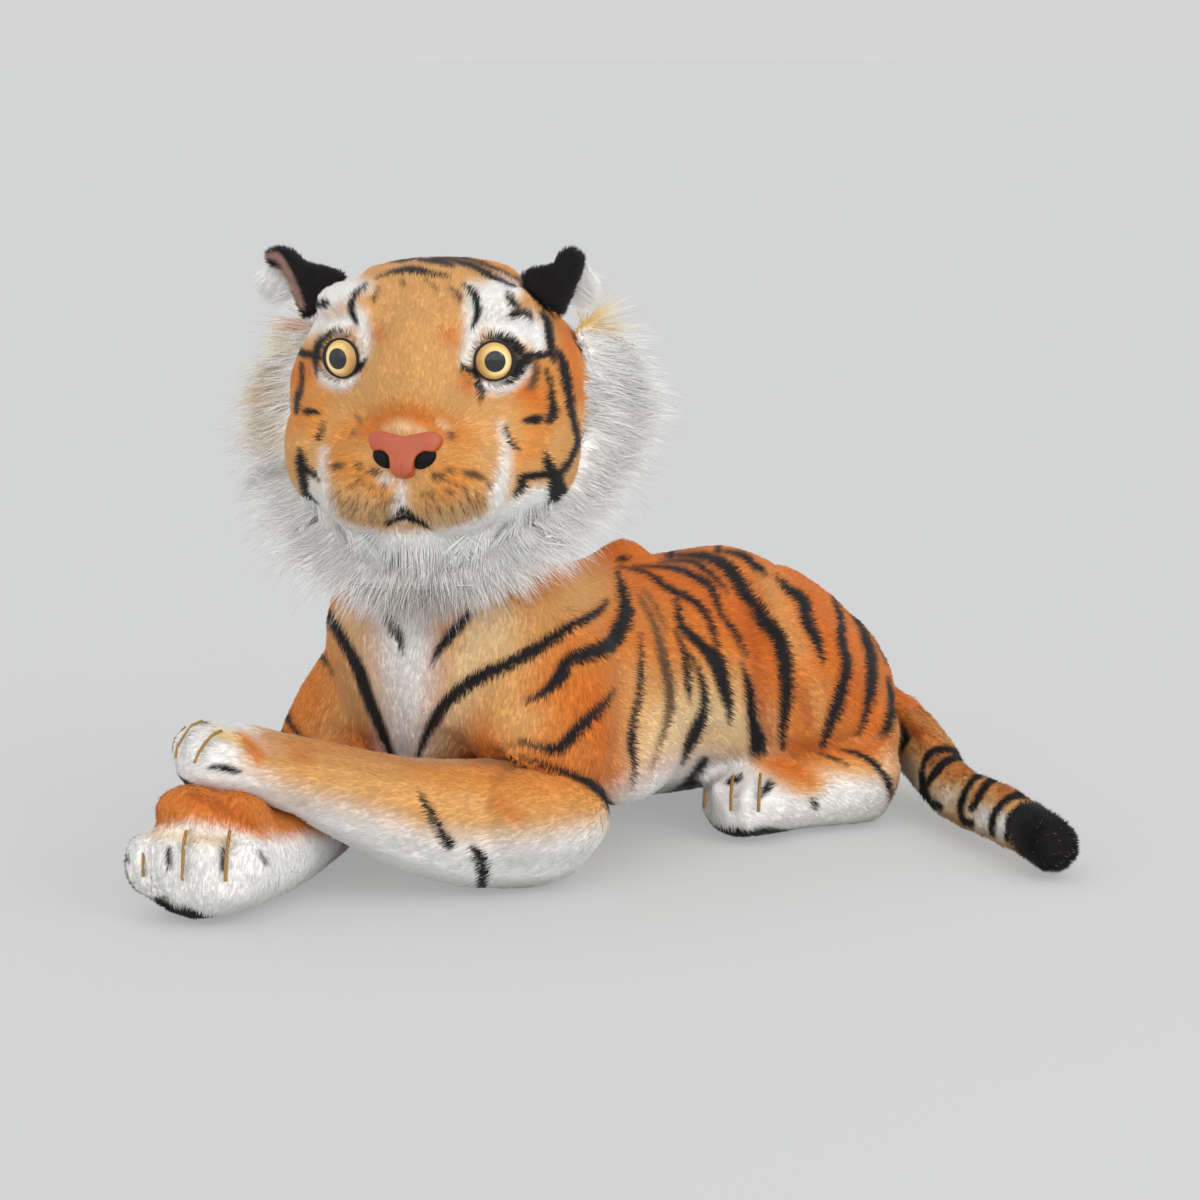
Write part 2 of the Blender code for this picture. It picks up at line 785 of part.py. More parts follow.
def eye_pieces(cover, core, tree, sign):
    """One plastic eye: clear dome, pupil, iris with its stem, and the lock washer inside."""
    x = sign * EYE_SPACING / 2
    hit, normal, face, distance = tree.ray_cast(Vector((x, -1, EYE_RISE)), Vector((0, 1, 0)))
    ahead = Vector((sign * math.sin(EYE_SPLAY), -math.cos(EYE_SPLAY), 0))
    turn = ahead.to_track_quat("Z", "Y").to_matrix().to_4x4()
    place = Matrix.Translation(hit) @ turn
    radius = EYE_DIAMETER / 2
    stem = STEM_DIAMETER / 2
    washer = WASHER_DIAMETER / 2
    seat = -FABRIC * 3 / 4
    front = seat + IRIS_THICKNESS
    behind = seat - STEM_LENGTH
    washer_front = seat - FABRIC - IRIS_THICKNESS
    washer_back = washer_front - WASHER_THICKNESS
    pupil = PUPIL_DIAMETER / 2
    pupil_front = front + GAP + IRIS_THICKNESS / 2
    socket = turned("socket", (
        (0, behind - GAP), (stem + GAP, behind - GAP), (stem + GAP, washer_back - GAP),
        (washer + GAP, washer_back - GAP), (washer + GAP, washer_front + GAP),
        (stem + GAP, washer_front + GAP), (stem + GAP, seat - GAP), (radius + GAP, seat - GAP),
        (radius + GAP, OVERRUN), (0, OVERRUN),
    ))
    socket.data.transform(place)
    cut_all((cover, core), [socket])
    dome = [
        (radius * math.cos(angle), front + GAP + EYE_DOME * math.sin(angle))
        for angle in (math.pi / 2 * step / 4 for step in range(1, 4))
    ]
    lens = turned("lens", (
        (0, pupil_front + GAP), (pupil + GAP, pupil_front + GAP), (pupil + GAP, front + GAP),
        (radius, front + GAP), *dome, (0, front + GAP + EYE_DOME),
    ))
    iris = turned("iris", ((0, behind), (stem, behind), (stem, seat), (radius, seat), (radius, front), (0, front)))
    disc = turned("pupil", ((0, front + GAP), (pupil, front + GAP), (pupil, pupil_front), (0, pupil_front)))
    ring = turned("washer", (
        (0, washer_back), (washer, washer_back), (washer, washer_front), (0, washer_front),
    ))
    hole = turned("hole", (
        (0, behind - OVERRUN), (stem + GAP, behind - OVERRUN), (stem + GAP, seat), (0, seat),
    ))
    cut(ring, hole)
    for piece in (lens, iris, disc, ring):
        piece.data.transform(place)
    return lens, iris, disc, ring


def nose_piece(cover, core, muzzle, tree):
    """The moulded nose with its stem pushed through the muzzle."""
    hit = tree.ray_cast(Vector((0, -1, NOSE_RISE)), Vector((0, 1, 0)))[0]
    shape = bmesh.new()
    back = OVERRUN / 2
    loop = [
        shape.verts.new((x * NOSE_WIDTH, back, y * NOSE_HEIGHT))
        for x, y in NOSE_OUTLINE_SHARES
    ]
    face = shape.faces.new(loop)
    grown = bmesh.ops.extrude_face_region(shape, geom=[face])
    verts = [part for part in grown["geom"] if isinstance(part, bmesh.types.BMVert)]
    bmesh.ops.translate(shape, verts=verts, vec=Vector((0, -back - NOSE_THICKNESS, 0)))
    nose = from_bmesh("nose", shape)
    place = Matrix.Translation(hit) @ Matrix.Rotation(-NOSE_TILT, 4, "X")
    nose.data.transform(place)
    cut(nose, muzzle.build("muzzle", grow=GAP, sides=LIMB_SIDES))
    cut(nose, head_form().build("skull", grow=GAP, sides=BODY_SIDES))
    stem = STEM_DIAMETER / 2
    length = STEM_LENGTH + FABRIC
    along = place @ Matrix.Rotation(math.pi / 2, 4, "X")
    post = turned("post", ((0, -length), (stem, -length), (stem, NOSE_THICKNESS / 2), (0, NOSE_THICKNESS / 2)))
    post.data.transform(along)
    join(nose, post)
    socket = turned("socket", (
        (0, -length - GAP), (stem + GAP, -length - GAP), (stem + GAP, OVERRUN), (0, OVERRUN),
    ))
    socket.data.transform(along)
    cut_all((cover, core), [socket])
    return nose


def mouth_stitch(forms, tree):
    """The embroidered mouth, an upturned V under the nose."""
    points = []
    for share in MOUTH_PLACE_SHARES:
        x = share * MOUTH_WIDTH / 2
        z = MOUTH_RISE - abs(share) * MOUTH_WIDTH / 5
        points.append(tree.ray_cast(Vector((x, -1, z)), Vector((0, 1, 0)))[0])
    thread = tube("thread", points, MOUTH_THREAD)
    for form in forms:
        cut(thread, form.build("cutter", grow=GAP, sides=LIMB_SIDES))
    return thread


def ear_frame(sign, tree):
    """Base point and direction of one ear, its rounded root just clear of the head."""
    way = Vector((sign * math.sin(EAR_LEAN), 0, math.cos(EAR_LEAN)))
    across = Vector((math.cos(EAR_LEAN), 0, -sign * math.sin(EAR_LEAN)))
    root = Vector((sign * EAR_SIDE, -EAR_FORWARD, EAR_RISE)) + way * EAR_HEIGHT
    heights = []
    for step in range(-EAR_PROBES, EAR_PROBES + 1):
        share = step / EAR_PROBES
        for side in (-1, 0, 1):
            start_point = root + across * share * EAR_WIDTH / 2 + Vector((0, side * EAR_THICKNESS / 4, 0))
            hit = tree.ray_cast(start_point, -way)[0]
            round_end = EAR_THICKNESS / 2 * math.sqrt(max(1 - share * share, 0))
            heights.append((hit - root).dot(way) + round_end)
    return root + way * max(heights), way


def ear_pieces(base, way, sign):
    """The black back and the white lining of one ear."""
    rows = [
        (*(base + way * along * EAR_HEIGHT), width * EAR_WIDTH, thick * EAR_THICKNESS)
        for along, width, thick in EAR_SHARES
    ]
    across = Vector((math.cos(EAR_LEAN), 0, -sign * math.sin(EAR_LEAN)))
    form = Form(rows, way=way, side=across, caps=(EAR_THICKNESS / 2, EAR_HEIGHT / 12), steps=1)
    pieces = []
    for front in (True, False):
        half = form.build("half", sides=CORE_SIDES)
        size = EAR_HEIGHT * 4
        reach = (size - GAP) / 2 if front else (GAP - size) / 2
        box = bpy.data.meshes.new("box")
        shape = bmesh.new()
        bmesh.ops.create_cube(shape, size=size)
        shape.to_mesh(box)
        shape.free()
        block = bpy.data.objects.new("box", box)
        bpy.context.scene.collection.objects.link(block)
        block.data.transform(Matrix.Translation(base + Vector((0, reach, 0))))
        cut(half, block)
        pieces.append(half)
    return pieces


def ruff_piece(low, high, steps, cutters):
    """A stretch of the ruff between two angles from straight down."""
    shape = bmesh.new()
    loops = []
    for step in range(steps + 1):
        angle = low + (high - low) * step / steps
        lower = max(math.cos(angle), 0)
        inside = HEAD_WIDTH / 3
        skin = HEAD_WIDTH / 2 - (HEAD_WIDTH / 2 - RUFF_CENTRE_RISE + HEAD_BOTTOM) * lower
        reach = RUFF_SIDE_REACH + (RUFF_CHIN_REACH - RUFF_SIDE_REACH) * lower
        if lower == 0:
            reach *= 1 - RUFF_FADE_SHARE * (abs(angle) - math.pi / 2) / math.radians(30)
        outside = skin + reach
        root = RUFF_BIB_FORWARD * lower
        tip = RUFF_BIB_TIP_FORWARD * lower - RUFF_SWEEP * (1 - lower)
        thick = RUFF_THICKNESS - (RUFF_THICKNESS - RUFF_BIB_THICKNESS) * lower
        profile = (
            (inside, root, thick), (skin, root, thick),
            ((skin + outside) / 2, (root + tip) / 2, thick * 0.72), (outside, tip, thick * 0.34),
        )
        edge = [(radius, -forward - width / 2) for radius, forward, width in profile]
        edge += [(radius, -forward + width / 2) for radius, forward, width in profile[::-1]]
        loops.append([
            shape.verts.new((
                radius * math.sin(angle), y, RUFF_CENTRE_RISE - radius * math.cos(angle),
            ))
            for radius, y in edge
        ])
    count = len(loops[0])
    for near, far in zip(loops, loops[1:]):
        for step in range(count):
            ahead = (step + 1) % count
            shape.faces.new((near[step], near[ahead], far[ahead], far[step]))
    shape.faces.new(loops[0])
    shape.faces.new(loops[-1])
    piece = from_bmesh("ruff", shape)
    for form, sides in cutters:
        cut(piece, form.build("cutter", grow=GAP, sides=sides))
    return piece


def build_torso_and_legs(root):
    """The torso, both forelegs, both hind legs and the tail."""
    pile = material("pile", ORANGE)
    white_pile = material("white_pile", WHITE)
    black_pile = material("black_pile", BLACK)
    fibre = material("fibre", STUFFING)
    thread_look = material("gold_thread", GOLD_THREAD, roughness=0.6)

    cover, core = torso()
    elbow_rise = resting_height(FOREARM_WIDTH, LIMB_SIDES)
    left_elbow = Vector((ELBOW_SIDE, ELBOW_PLACE, elbow_rise))
    right_elbow = Vector((-ELBOW_SIDE, RIGHT_ELBOW_PLACE, elbow_rise))
    left_arm = upper_arm_form(1, ELBOW_PLACE)
    right_arm = upper_arm_form(-1, RIGHT_ELBOW_PLACE)
    left_forearm = forearm_form(
        1, left_elbow, LEFT_FOREARM_SHARES, LEFT_FOREARM_INWARD, LEFT_FOREARM_FORWARD, LEFT_FOREARM_RISE,
    )
    right_forearm = forearm_form(
        -1, right_elbow, RIGHT_FOREARM_SHARES, RIGHT_FOREARM_INWARD, RIGHT_FOREARM_FORWARD, 0,
    )

    lift_axis = Vector((-LEFT_FOREARM_FORWARD, LEFT_FOREARM_INWARD, 0)).normalized()
    left_arm_cover, left_arm_core = stuffed(left_arm, LIMB_SIDES)
    right_arm_cover, right_arm_core = stuffed(right_arm, LIMB_SIDES)
    cut_all((left_arm_cover, left_arm_core, right_arm_cover, right_arm_core), [torso_cutter()])
    lifts = sweep(left_forearm, left_elbow, lift_axis, steps_between(ELBOW_LIFT / SWEEP_STEPS, ELBOW_LIFT))
    cut_all((left_arm_cover, left_arm_core, cover, core), lifts)

    forearm_cover, forearm_core = stuffed(left_forearm, LIMB_SIDES)
    cut_all((forearm_cover, forearm_core), [right_forearm.build("under", grow=GAP, sides=LIMB_SIDES)])
    right_forearm_cover, right_forearm_core = stuffed(right_forearm, LIMB_SIDES)
    cut_all(
        (right_forearm_cover, right_forearm_core),
        [torso_cutter(), right_arm.build("upper", grow=GAP, sides=LIMB_SIDES)],
    )

    elbow_pivot = empty("left_elbow", left_elbow, parent=root)
    paws = []
    for name, form, targets, sign, tip, pivot in (
        ("left_fore", left_forearm, (forearm_cover,), 1, LEFT_FOREARM_SHARES[-1], elbow_pivot),
        ("right_fore", right_forearm, (right_forearm_cover,), -1, RIGHT_FOREARM_SHARES[-1], root),
    ):
        tree = surface(targets[0])
        rows = form.rows
        centre = Vector(rows[-1][:3])
        facing = (centre - Vector(rows[-4][:3]))
        facing.z = 0
        facing.normalize()
        threads = toe_stitches((form,), tree, centre, facing, rows[-1][3], FORE_TOE_TURN)
        pad = pad_on(form, centre, PAD_LENGTH, PAD_WIDTH, facing, targets)
        paws.append((name, threads, pad, pivot))

    for side, sign in (("left", 1), ("right", -1)):
        haunch = haunch_form(sign)
        foot = hind_foot_form(sign)
        haunch_cover, haunch_core = stuffed(haunch, LIMB_SIDES)
        cut_all((haunch_cover, haunch_core), [torso_cutter()])
        foot_body = foot.build("foot", sides=LIMB_SIDES)
        cut_all((foot_body,), [torso_cutter(), haunch.build("thigh", grow=GAP, sides=LIMB_SIDES)])
        rows = foot.rows
        centre = Vector(rows[-1][:3])
        facing = Vector((-sign * HIND_FOOT_INWARD, -HIND_FOOT_LENGTH, 0)).normalized()
        threads = toe_stitches(
            (foot, haunch), surface(foot_body), centre, facing, rows[-1][3], sign * HIND_TOE_TURN,
        )
        pad = pad_on(foot, centre, PAD_LENGTH, PAD_WIDTH, facing, (foot_body,))
        paws.append((f"{side}_hind", threads, pad, root))
        finish(haunch_cover, f"{side}_thigh_cover", pile, root)
        finish(haunch_core, f"{side}_thigh_stuffing", fibre, root)
        finish(foot_body, f"{side}_hind_foot", white_pile, root)

    build_tail(root, cover, core, pile, black_pile, fibre)
    finish(cover, "torso_cover", pile, root)
    finish(core, "torso_stuffing", fibre, root)
    finish(left_arm_cover, "left_upper_arm_cover", pile, root)
    finish(left_arm_core, "left_upper_arm_stuffing", fibre, root)
    finish(right_arm_cover, "right_upper_arm_cover", pile, root)
    finish(right_arm_core, "right_upper_arm_stuffing", fibre, root)
    finish(forearm_cover, "left_forearm_cover", pile, elbow_pivot)
    finish(forearm_core, "left_forearm_stuffing", fibre, elbow_pivot)
    finish(right_forearm_cover, "right_forearm_cover", pile, root)
    finish(right_forearm_core, "right_forearm_stuffing", fibre, root)
    for name, threads, pad, pivot in paws:
        finish(pad, f"{name}_paw_pad", black_pile, pivot)
        for number, thread in enumerate(threads, 1):
            finish(thread, f"{name}_toe_stitch_{number}", thread_look, pivot)


def tail_part(rows, start_cap, end_cap):
    """A form for one stretch of the tail."""
    side = Vector((0, 0, 1))
    return Form(rows, side=side, caps=(start_cap, end_cap), steps=1, floor=0)


def build_tail(root, cover, core, pile, black_pile, fibre):
    """The tail in two moving lengths, with its black tip."""
    rows = smooth_rows(tail_rows(), 2)
    bend = TAIL_BEND_ROW * 2
    tip = TAIL_TIP_ROW * 2
    root_place = Vector(rows[0][:3])
    bend_place = Vector(rows[bend][:3])
    root_radius = rows[0][3] / 2
    bend_radius = rows[bend][3] / 2
    up = Vector((0, 0, 1))

    last = [
        before + (here - before) * TAIL_SEAT_SHARE for before, here in zip(rows[bend - 1], rows[bend])
    ]
    base = tail_part(rows[:bend] + [last], root_radius, 0)
    outer = tail_part(rows[bend:tip + 1], bend_radius, 0)
    end = tail_part(rows[tip:], 0, TAIL_CAP)
    swings = sweep(base, root_place, up, steps_between(-TAIL_SWING_IN, TAIL_SWING_OUT), sides=CORE_SIDES)
    cut_all((cover, core), swings)

    base_cover, base_core = stuffed(base, CORE_SIDES, skip=1, extend=(0, OVERRUN))
    bends = sweep(outer, bend_place, up, steps_between(-TAIL_BEND_IN, TAIL_BEND_OUT), sides=CORE_SIDES)
    cut_all((base_cover, base_core), bends)
    outer_cover, outer_core = stuffed(outer, CORE_SIDES, skip=1, extend=(0, OVERRUN))
    end_body = end.build("tip", sides=CORE_SIDES)
    cut(end_body, outer.build("seam", grow=GAP, sides=CORE_SIDES, extend=(0, GAP)))

    root_pivot = empty("tail_root", root_place, parent=root)
    bend_pivot = empty("tail_bend", bend_place - root_place, parent=root_pivot)
    finish(base_cover, "tail_base_cover", pile, root_pivot)
    finish(base_core, "tail_base_stuffing", fibre, root_pivot)
    finish(outer_cover, "tail_outer_cover", pile, bend_pivot)
    finish(outer_core, "tail_outer_stuffing", fibre, bend_pivot)
    finish(end_body, "tail_tip", black_pile, bend_pivot)


def build_head(root):
    """The neck ball and everything that turns and nods with the head."""
    pile = material("head_pile", ORANGE)
    white_pile = material("head_white_pile", WHITE)
    black_pile = material("head_black_pile", BLACK)
    fibre = material("head_fibre", STUFFING)
    coral = material("coral_vinyl", CORAL, roughness=0.45)
    clear = material("clear_plastic", CLEAR, roughness=0.05)
    amber = material("amber_plastic", AMBER, roughness=0.3)
    black = material("black_plastic", BLACK, roughness=0.15)
    nylon = material("nylon", NYLON, roughness=0.5)

    neck_place = Vector((0, NECK_PLACE, CHEST_HEIGHT + NECK_RISE))
    turn_pivot = empty("head_turn", neck_place, turn=HEAD_TURN, parent=root)
    nod_pivot = empty("head_nod", Vector(), parent=turn_pivot)
    to_world = turn_pivot.matrix_world.copy()

    neck = neck_ball("neck", NECK_RADIUS)
    floor = -NECK_RISE + GAP
    below = turned("below", (
        (0, -NECK_RADIUS * 2), (NECK_RADIUS * 2, -NECK_RADIUS * 2), (NECK_RADIUS * 2, floor), (0, floor),
    ))
    cut(neck, below)

    skull = head_form()
    cover = skull.build("cover", sides=BODY_SIDES)
    tree = surface(cover)
    cut(cover, skull.build("cavity", grow=-FABRIC, sides=LIMB_SIDES, skip=2, extend=(OVERRUN, 0)))
    stuffing = skull.build("core", grow=-FABRIC - GAP, sides=LIMB_SIDES, skip=2)
    cut_all((cover, stuffing), [neck_ball("socket", (NECK_RADIUS + GAP) / math.cos(math.pi / NECK_SIDES))])

    muzzle = snout_form(MUZZLE_SHARES, MUZZLE_REACH, MUZZLE_WIDTH, MUZZLE_HEIGHT, MUZZLE_RISE)
    chin = snout_form(CHIN_SHARES, CHIN_REACH, CHIN_WIDTH, CHIN_HEIGHT, CHIN_RISE)
    muzzle_cover, muzzle_core = stuffed(muzzle, LIMB_SIDES, skip=1, extend=(OVERRUN, 0))
    chin_body = chin.build("chin", sides=LIMB_SIDES)
    skull_cutter = skull.build("skull", grow=GAP, sides=BODY_SIDES)
    cut_all((muzzle_cover, muzzle_core, chin_body), [skull_cutter])
    cut(chin_body, muzzle.build("muzzle", grow=GAP, sides=LIMB_SIDES))
    muzzle_tree = surface(muzzle.build("probe", sides=LIMB_SIDES))
    bpy.data.objects.remove(bpy.data.objects["probe"], do_unlink=True)
    nose = nose_piece(muzzle_cover, muzzle_core, muzzle, muzzle_tree)
    mouth = mouth_stitch((muzzle, chin), muzzle_tree)

    pieces = [
        ("head_cover", cover, pile), ("head_stuffing", stuffing, fibre),
        ("muzzle_cover", muzzle_cover, pile), ("muzzle_stuffing", muzzle_core, fibre),
        ("chin", chin_body, white_pile), ("nose", nose, coral), ("mouth_stitch", mouth, black_pile),
    ]
    for side, sign in (("left", 1), ("right", -1)):
        lens, iris, disc, ring = eye_pieces(cover, stuffing, tree, sign)
        pieces += [
            (f"{side}_eye_dome", lens, clear), (f"{side}_eye_iris", iris, amber),
            (f"{side}_eye_pupil", disc, black), (f"{side}_eye_washer", ring, nylon),
        ]
    cutters = ((skull, BODY_SIDES), (muzzle, LIMB_SIDES), (chin, LIMB_SIDES))
    for name, low, high, steps in (
        ("left_ruff", RUFF_SPLIT + RUFF_SEAM, RUFF_TOP, RUFF_STEPS),
        ("right_ruff", -RUFF_TOP, -RUFF_SPLIT - RUFF_SEAM, RUFF_STEPS),
        ("chin_ruff", -RUFF_SPLIT, RUFF_SPLIT, RUFF_STEPS),
    ):
        pieces.append((name, ruff_piece(low, high, steps, cutters), white_pile))
    for name, piece, look in pieces:
        piece.data.transform(to_world)
        finish(piece, name, look, nod_pivot)
    neck.data.transform(to_world)
    finish(neck, "neck", fibre, turn_pivot)
    for side, sign in (("left", 1), ("right", -1)):
        base, way = ear_frame(sign, tree)
        pivot = empty(f"{side}_ear", base, parent=nod_pivot)
        pivot.rotation_euler = (0, sign * EAR_LEAN, 0)
        bpy.context.view_layer.update()
        back, lining = ear_pieces(base, way, sign)
        for name, piece, look in (
            (f"{side}_ear_back", back, black_pile), (f"{side}_ear_lining", lining, white_pile),
        ):
            piece.data.transform(to_world)
            finish(piece, name, look, pivot)


def stand_on_origin(root):
    """Shift the whole toy so that its origin is under the middle of its bounds."""
    bpy.context.view_layer.update()
    corners = [
        thing.matrix_world @ vertex.co
        for thing in bpy.data.objects if thing.type == "MESH"
        for vertex in thing.data.vertices
    ]
    low = Vector(min(corner[axis] for corner in corners) for axis in range(3))
    high = Vector(max(corner[axis] for corner in corners) for axis in range(3))
    root.location = (-(low.x + high.x) / 2, -(low.y + high.y) / 2, -low.z)
    bpy.context.view_layer.update()


start()
tiger = empty("tiger", Vector())
build_torso_and_legs(tiger)
build_head(tiger)
stand_on_origin(tiger)
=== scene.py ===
# Lying plush tiger: stuffed skins, combed pile, long ruff, moulded eyes and nose, on a pale floor
import json
import math
import bmesh
import bpy
import numpy as np
from mathutils import Matrix, Vector, noise
from mathutils.bvhtree import BVHTree


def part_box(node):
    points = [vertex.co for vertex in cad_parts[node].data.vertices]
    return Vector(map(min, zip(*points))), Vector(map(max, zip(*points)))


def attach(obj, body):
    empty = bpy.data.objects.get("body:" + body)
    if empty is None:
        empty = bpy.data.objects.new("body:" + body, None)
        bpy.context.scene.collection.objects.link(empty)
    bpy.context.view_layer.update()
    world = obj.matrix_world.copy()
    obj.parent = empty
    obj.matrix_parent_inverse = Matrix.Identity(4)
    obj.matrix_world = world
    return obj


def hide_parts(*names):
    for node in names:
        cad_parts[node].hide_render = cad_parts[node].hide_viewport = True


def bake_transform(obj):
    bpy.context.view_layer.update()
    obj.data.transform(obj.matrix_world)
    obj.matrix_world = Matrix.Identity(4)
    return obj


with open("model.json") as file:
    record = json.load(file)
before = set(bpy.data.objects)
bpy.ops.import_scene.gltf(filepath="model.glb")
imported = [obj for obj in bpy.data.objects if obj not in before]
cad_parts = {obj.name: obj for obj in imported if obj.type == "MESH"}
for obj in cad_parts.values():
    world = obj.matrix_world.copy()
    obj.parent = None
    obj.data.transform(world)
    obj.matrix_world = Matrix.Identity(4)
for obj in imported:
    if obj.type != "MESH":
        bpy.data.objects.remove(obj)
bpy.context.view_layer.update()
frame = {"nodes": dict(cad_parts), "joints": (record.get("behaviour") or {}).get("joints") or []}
print("frame loaded")

# ---------- the photograph's camera, and the toy's own measures ----------

photoView = {
    "azimuth": math.radians(46),
    "elevation": math.radians(10),
    "distance": 2.1,
    "focalPixels": 3230,
    "sidePixels": 1200,
    "sensor": 36,
    "targetBehindNeck": 0.130,   # the camera looks at this point of the body's middle plane
    "targetHeight": 0.150,
}
joints = {joint["name"]: joint for joint in frame["joints"]}
neckPivot = Vector(joints["head_turn"]["pos_m"])
sideWay = Vector(joints["head_nod"]["axis"])           # to the head's left
upWay = Vector((0, 0, 1))
faceWay = sideWay.cross(upWay)                         # out of the face
middleSide = neckPivot.x                               # the body's middle plane
aimPoint = Vector((neckPivot.x, neckPivot.y + photoView["targetBehindNeck"], photoView["targetHeight"]))


def photoAxes():
    turn, lift = photoView["azimuth"], photoView["elevation"]
    back = Vector((math.sin(turn) * math.cos(lift), -math.cos(turn) * math.cos(lift), math.sin(lift)))
    right = Vector((math.cos(turn), math.sin(turn), 0))
    return back, right, back.cross(right)


backWay, rightWay, topWay = photoAxes()


def toPixels(points):
    # where points of the toy lie in the photograph
    offset = np.asarray(points, float) - np.array(aimPoint)
    depth = photoView["distance"] - offset @ np.array(backWay)
    scale = photoView["focalPixels"] / depth
    half = photoView["sidePixels"] / 2
    return np.stack([half + offset @ np.array(rightWay) * scale, half - offset @ np.array(topWay) * scale], 1)


def photoPlace(across, down, nearer):
    # the place seen at a pixel of the photograph, this much nearer than the aim point
    share = (photoView["distance"] - nearer) / photoView["focalPixels"]
    half = photoView["sidePixels"] / 2
    return aimPoint + rightWay * (across - half) * share + topWay * (half - down) * share + backWay * nearer


def fromPixels(points, through, facing):
    # pixels laid on the plane that passes through a place and faces one way
    half = photoView["sidePixels"] / 2
    eye = np.array(aimPoint + backWay * photoView["distance"])
    rows = np.array(points, float)
    ways = (np.array(rightWay) * (rows[:, :1] - half) + np.array(topWay) * (half - rows[:, 1:2])
            - np.array(backWay) * photoView["focalPixels"])
    along = ((np.array(through) - eye) @ np.array(facing)) / (ways @ np.array(facing))
    return eye + ways * along[:, None]


# ---------- small helpers ----------

def deselect():
    if bpy.context.mode != "OBJECT":
        bpy.ops.object.mode_set(mode="OBJECT")
    bpy.ops.object.select_all(action="DESELECT")


def choose(thing):
    deselect()
    thing.select_set(True)
    bpy.context.view_layer.objects.active = thing


def settle(thing):
    # place goes into the mesh, so the object sits at the origin
    choose(thing)
    bpy.ops.object.transform_apply(location=True, rotation=True, scale=True)


def applied(thing, kind, **settings):
    choose(thing)
    modifier = thing.modifiers.new(kind.lower(), kind)
    for name, value in settings.items():
        setattr(modifier, name, value)
    bpy.ops.object.modifier_apply(modifier=modifier.name)
    return thing


def lump(place, size, turn=(0, 0, 0), segments=24):
    # one wad of filling: an ellipsoid that is fused into a skin
    deselect()
    bpy.ops.mesh.primitive_uv_sphere_add(segments=segments, ring_count=segments // 2, radius=0.5,
                                         location=place, rotation=turn, scale=size)
    made = bpy.context.active_object
    settle(made)
    return made


def nodeCopy(name):
    made = frame["nodes"][name].copy()
    made.data = made.data.copy()
    made.parent = None
    bpy.context.scene.collection.objects.link(made)
    return made


def joined(name, things):
    deselect()
    for thing in things:
        thing.select_set(True)
    bpy.context.view_layer.objects.active = things[0]
    if len(things) > 1:
        bpy.ops.object.join()
    made = bpy.context.active_object
    made.name = name
    made.data.name = name
    return made


def coordinates(thing):
    found = np.empty(len(thing.data.vertices) * 3)
    thing.data.vertices.foreach_get("co", found)
    return found.reshape(-1, 3)


def setCoordinates(thing, found):
    thing.data.vertices.foreach_set("co", np.ascontiguousarray(found, float).ravel())
    thing.data.update()


def normals(thing):
    found = np.empty(len(thing.data.vertices) * 3, np.float32)
    thing.data.vertex_normals.foreach_get("vector", found)
    return found.reshape(-1, 3).astype(float)


def dropSpecks(thing):
    # keep the one large surface of a remeshed skin
    shape = bmesh.new()
    shape.from_mesh(thing.data)
    unseen = set(shape.verts)
    groups = []
    while unseen:
        front = [unseen.pop()]
        group = list(front)
        while front:
            for edge in front.pop().link_edges:
                for vertex in edge.verts:
                    if vertex in unseen:
                        unseen.remove(vertex)
                        group.append(vertex)
                        front.append(vertex)
        groups.append(group)
    largest = max(groups, key=len)
    others = [vertex for group in groups if group is not largest for vertex in group]
    bmesh.ops.delete(shape, geom=others, context="VERTS")
    bmesh.ops.recalc_face_normals(shape, faces=shape.faces)
    shape.to_mesh(thing.data)
    shape.free()


def fused(name, things, voxel, smoothing, shrink):
    # one smooth skin from many solids and wads
    made = joined(name, things)
    choose(made)
    bpy.ops.object.mode_set(mode="EDIT")
    bpy.ops.mesh.select_all(action="SELECT")
    bpy.ops.mesh.remove_doubles(threshold=1e-5)
    bpy.ops.object.mode_set(mode="OBJECT")
    applied(made, "REMESH", mode="VOXEL", voxel_size=voxel)
    dropSpecks(made)
    applied(made, "SMOOTH", factor=0.5, iterations=smoothing)
    setCoordinates(made, coordinates(made) - normals(made) * shrink)
    made.data.materials.clear()
    choose(made)
    bpy.ops.object.shade_smooth()
    return made


def sculpted(skin, moves):
    # presses and pulls: a place, its reach, then how far the skin goes
    spots = coordinates(skin)
    shifted = spots.copy()
    for place, reach, way in moves:
        gap = np.linalg.norm(spots - np.array(place), axis=1)
        shifted += np.exp(-(gap / reach) ** 2)[:, None] * np.array(way)
    setCoordinates(skin, shifted)


def softened(skin, places, reach, rounds):
    # rubs a step out of the skin round some places
    spots = coordinates(skin)
    gap = np.min([np.linalg.norm(spots - np.array(place), axis=1) for place in places], axis=0)
    group = skin.vertex_groups.new(name="soft")
    for index in np.where(gap < reach * 1.4)[0]:
        group.add([int(index)], math.exp(-(gap[index] / reach) ** 4), "REPLACE")
    applied(skin, "SMOOTH", factor=0.5, iterations=rounds, vertex_group="soft")
    skin.vertex_groups.clear()


def slab(outline, way, thickness):
    # a flat form with this outline
    shape = bmesh.new()
    front = [shape.verts.new(tuple(spot + way * thickness / 2)) for spot in outline]
    back = [shape.verts.new(tuple(spot - way * thickness / 2)) for spot in outline]
    shape.faces.new(front)
    shape.faces.new(back[::-1])
    for here in range(len(outline)):
        ahead = (here + 1) % len(outline)
        shape.faces.new((front[ahead], front[here], back[here], back[ahead]))
    bmesh.ops.triangulate(shape, faces=shape.faces)
    bmesh.ops.recalc_face_normals(shape, faces=shape.faces)
    mesh = bpy.data.meshes.new("slab")
    shape.to_mesh(mesh)
    shape.free()
    made = bpy.data.objects.new("slab", mesh)
    bpy.context.scene.collection.objects.link(made)
    return made


# ---------- shader maths ----------

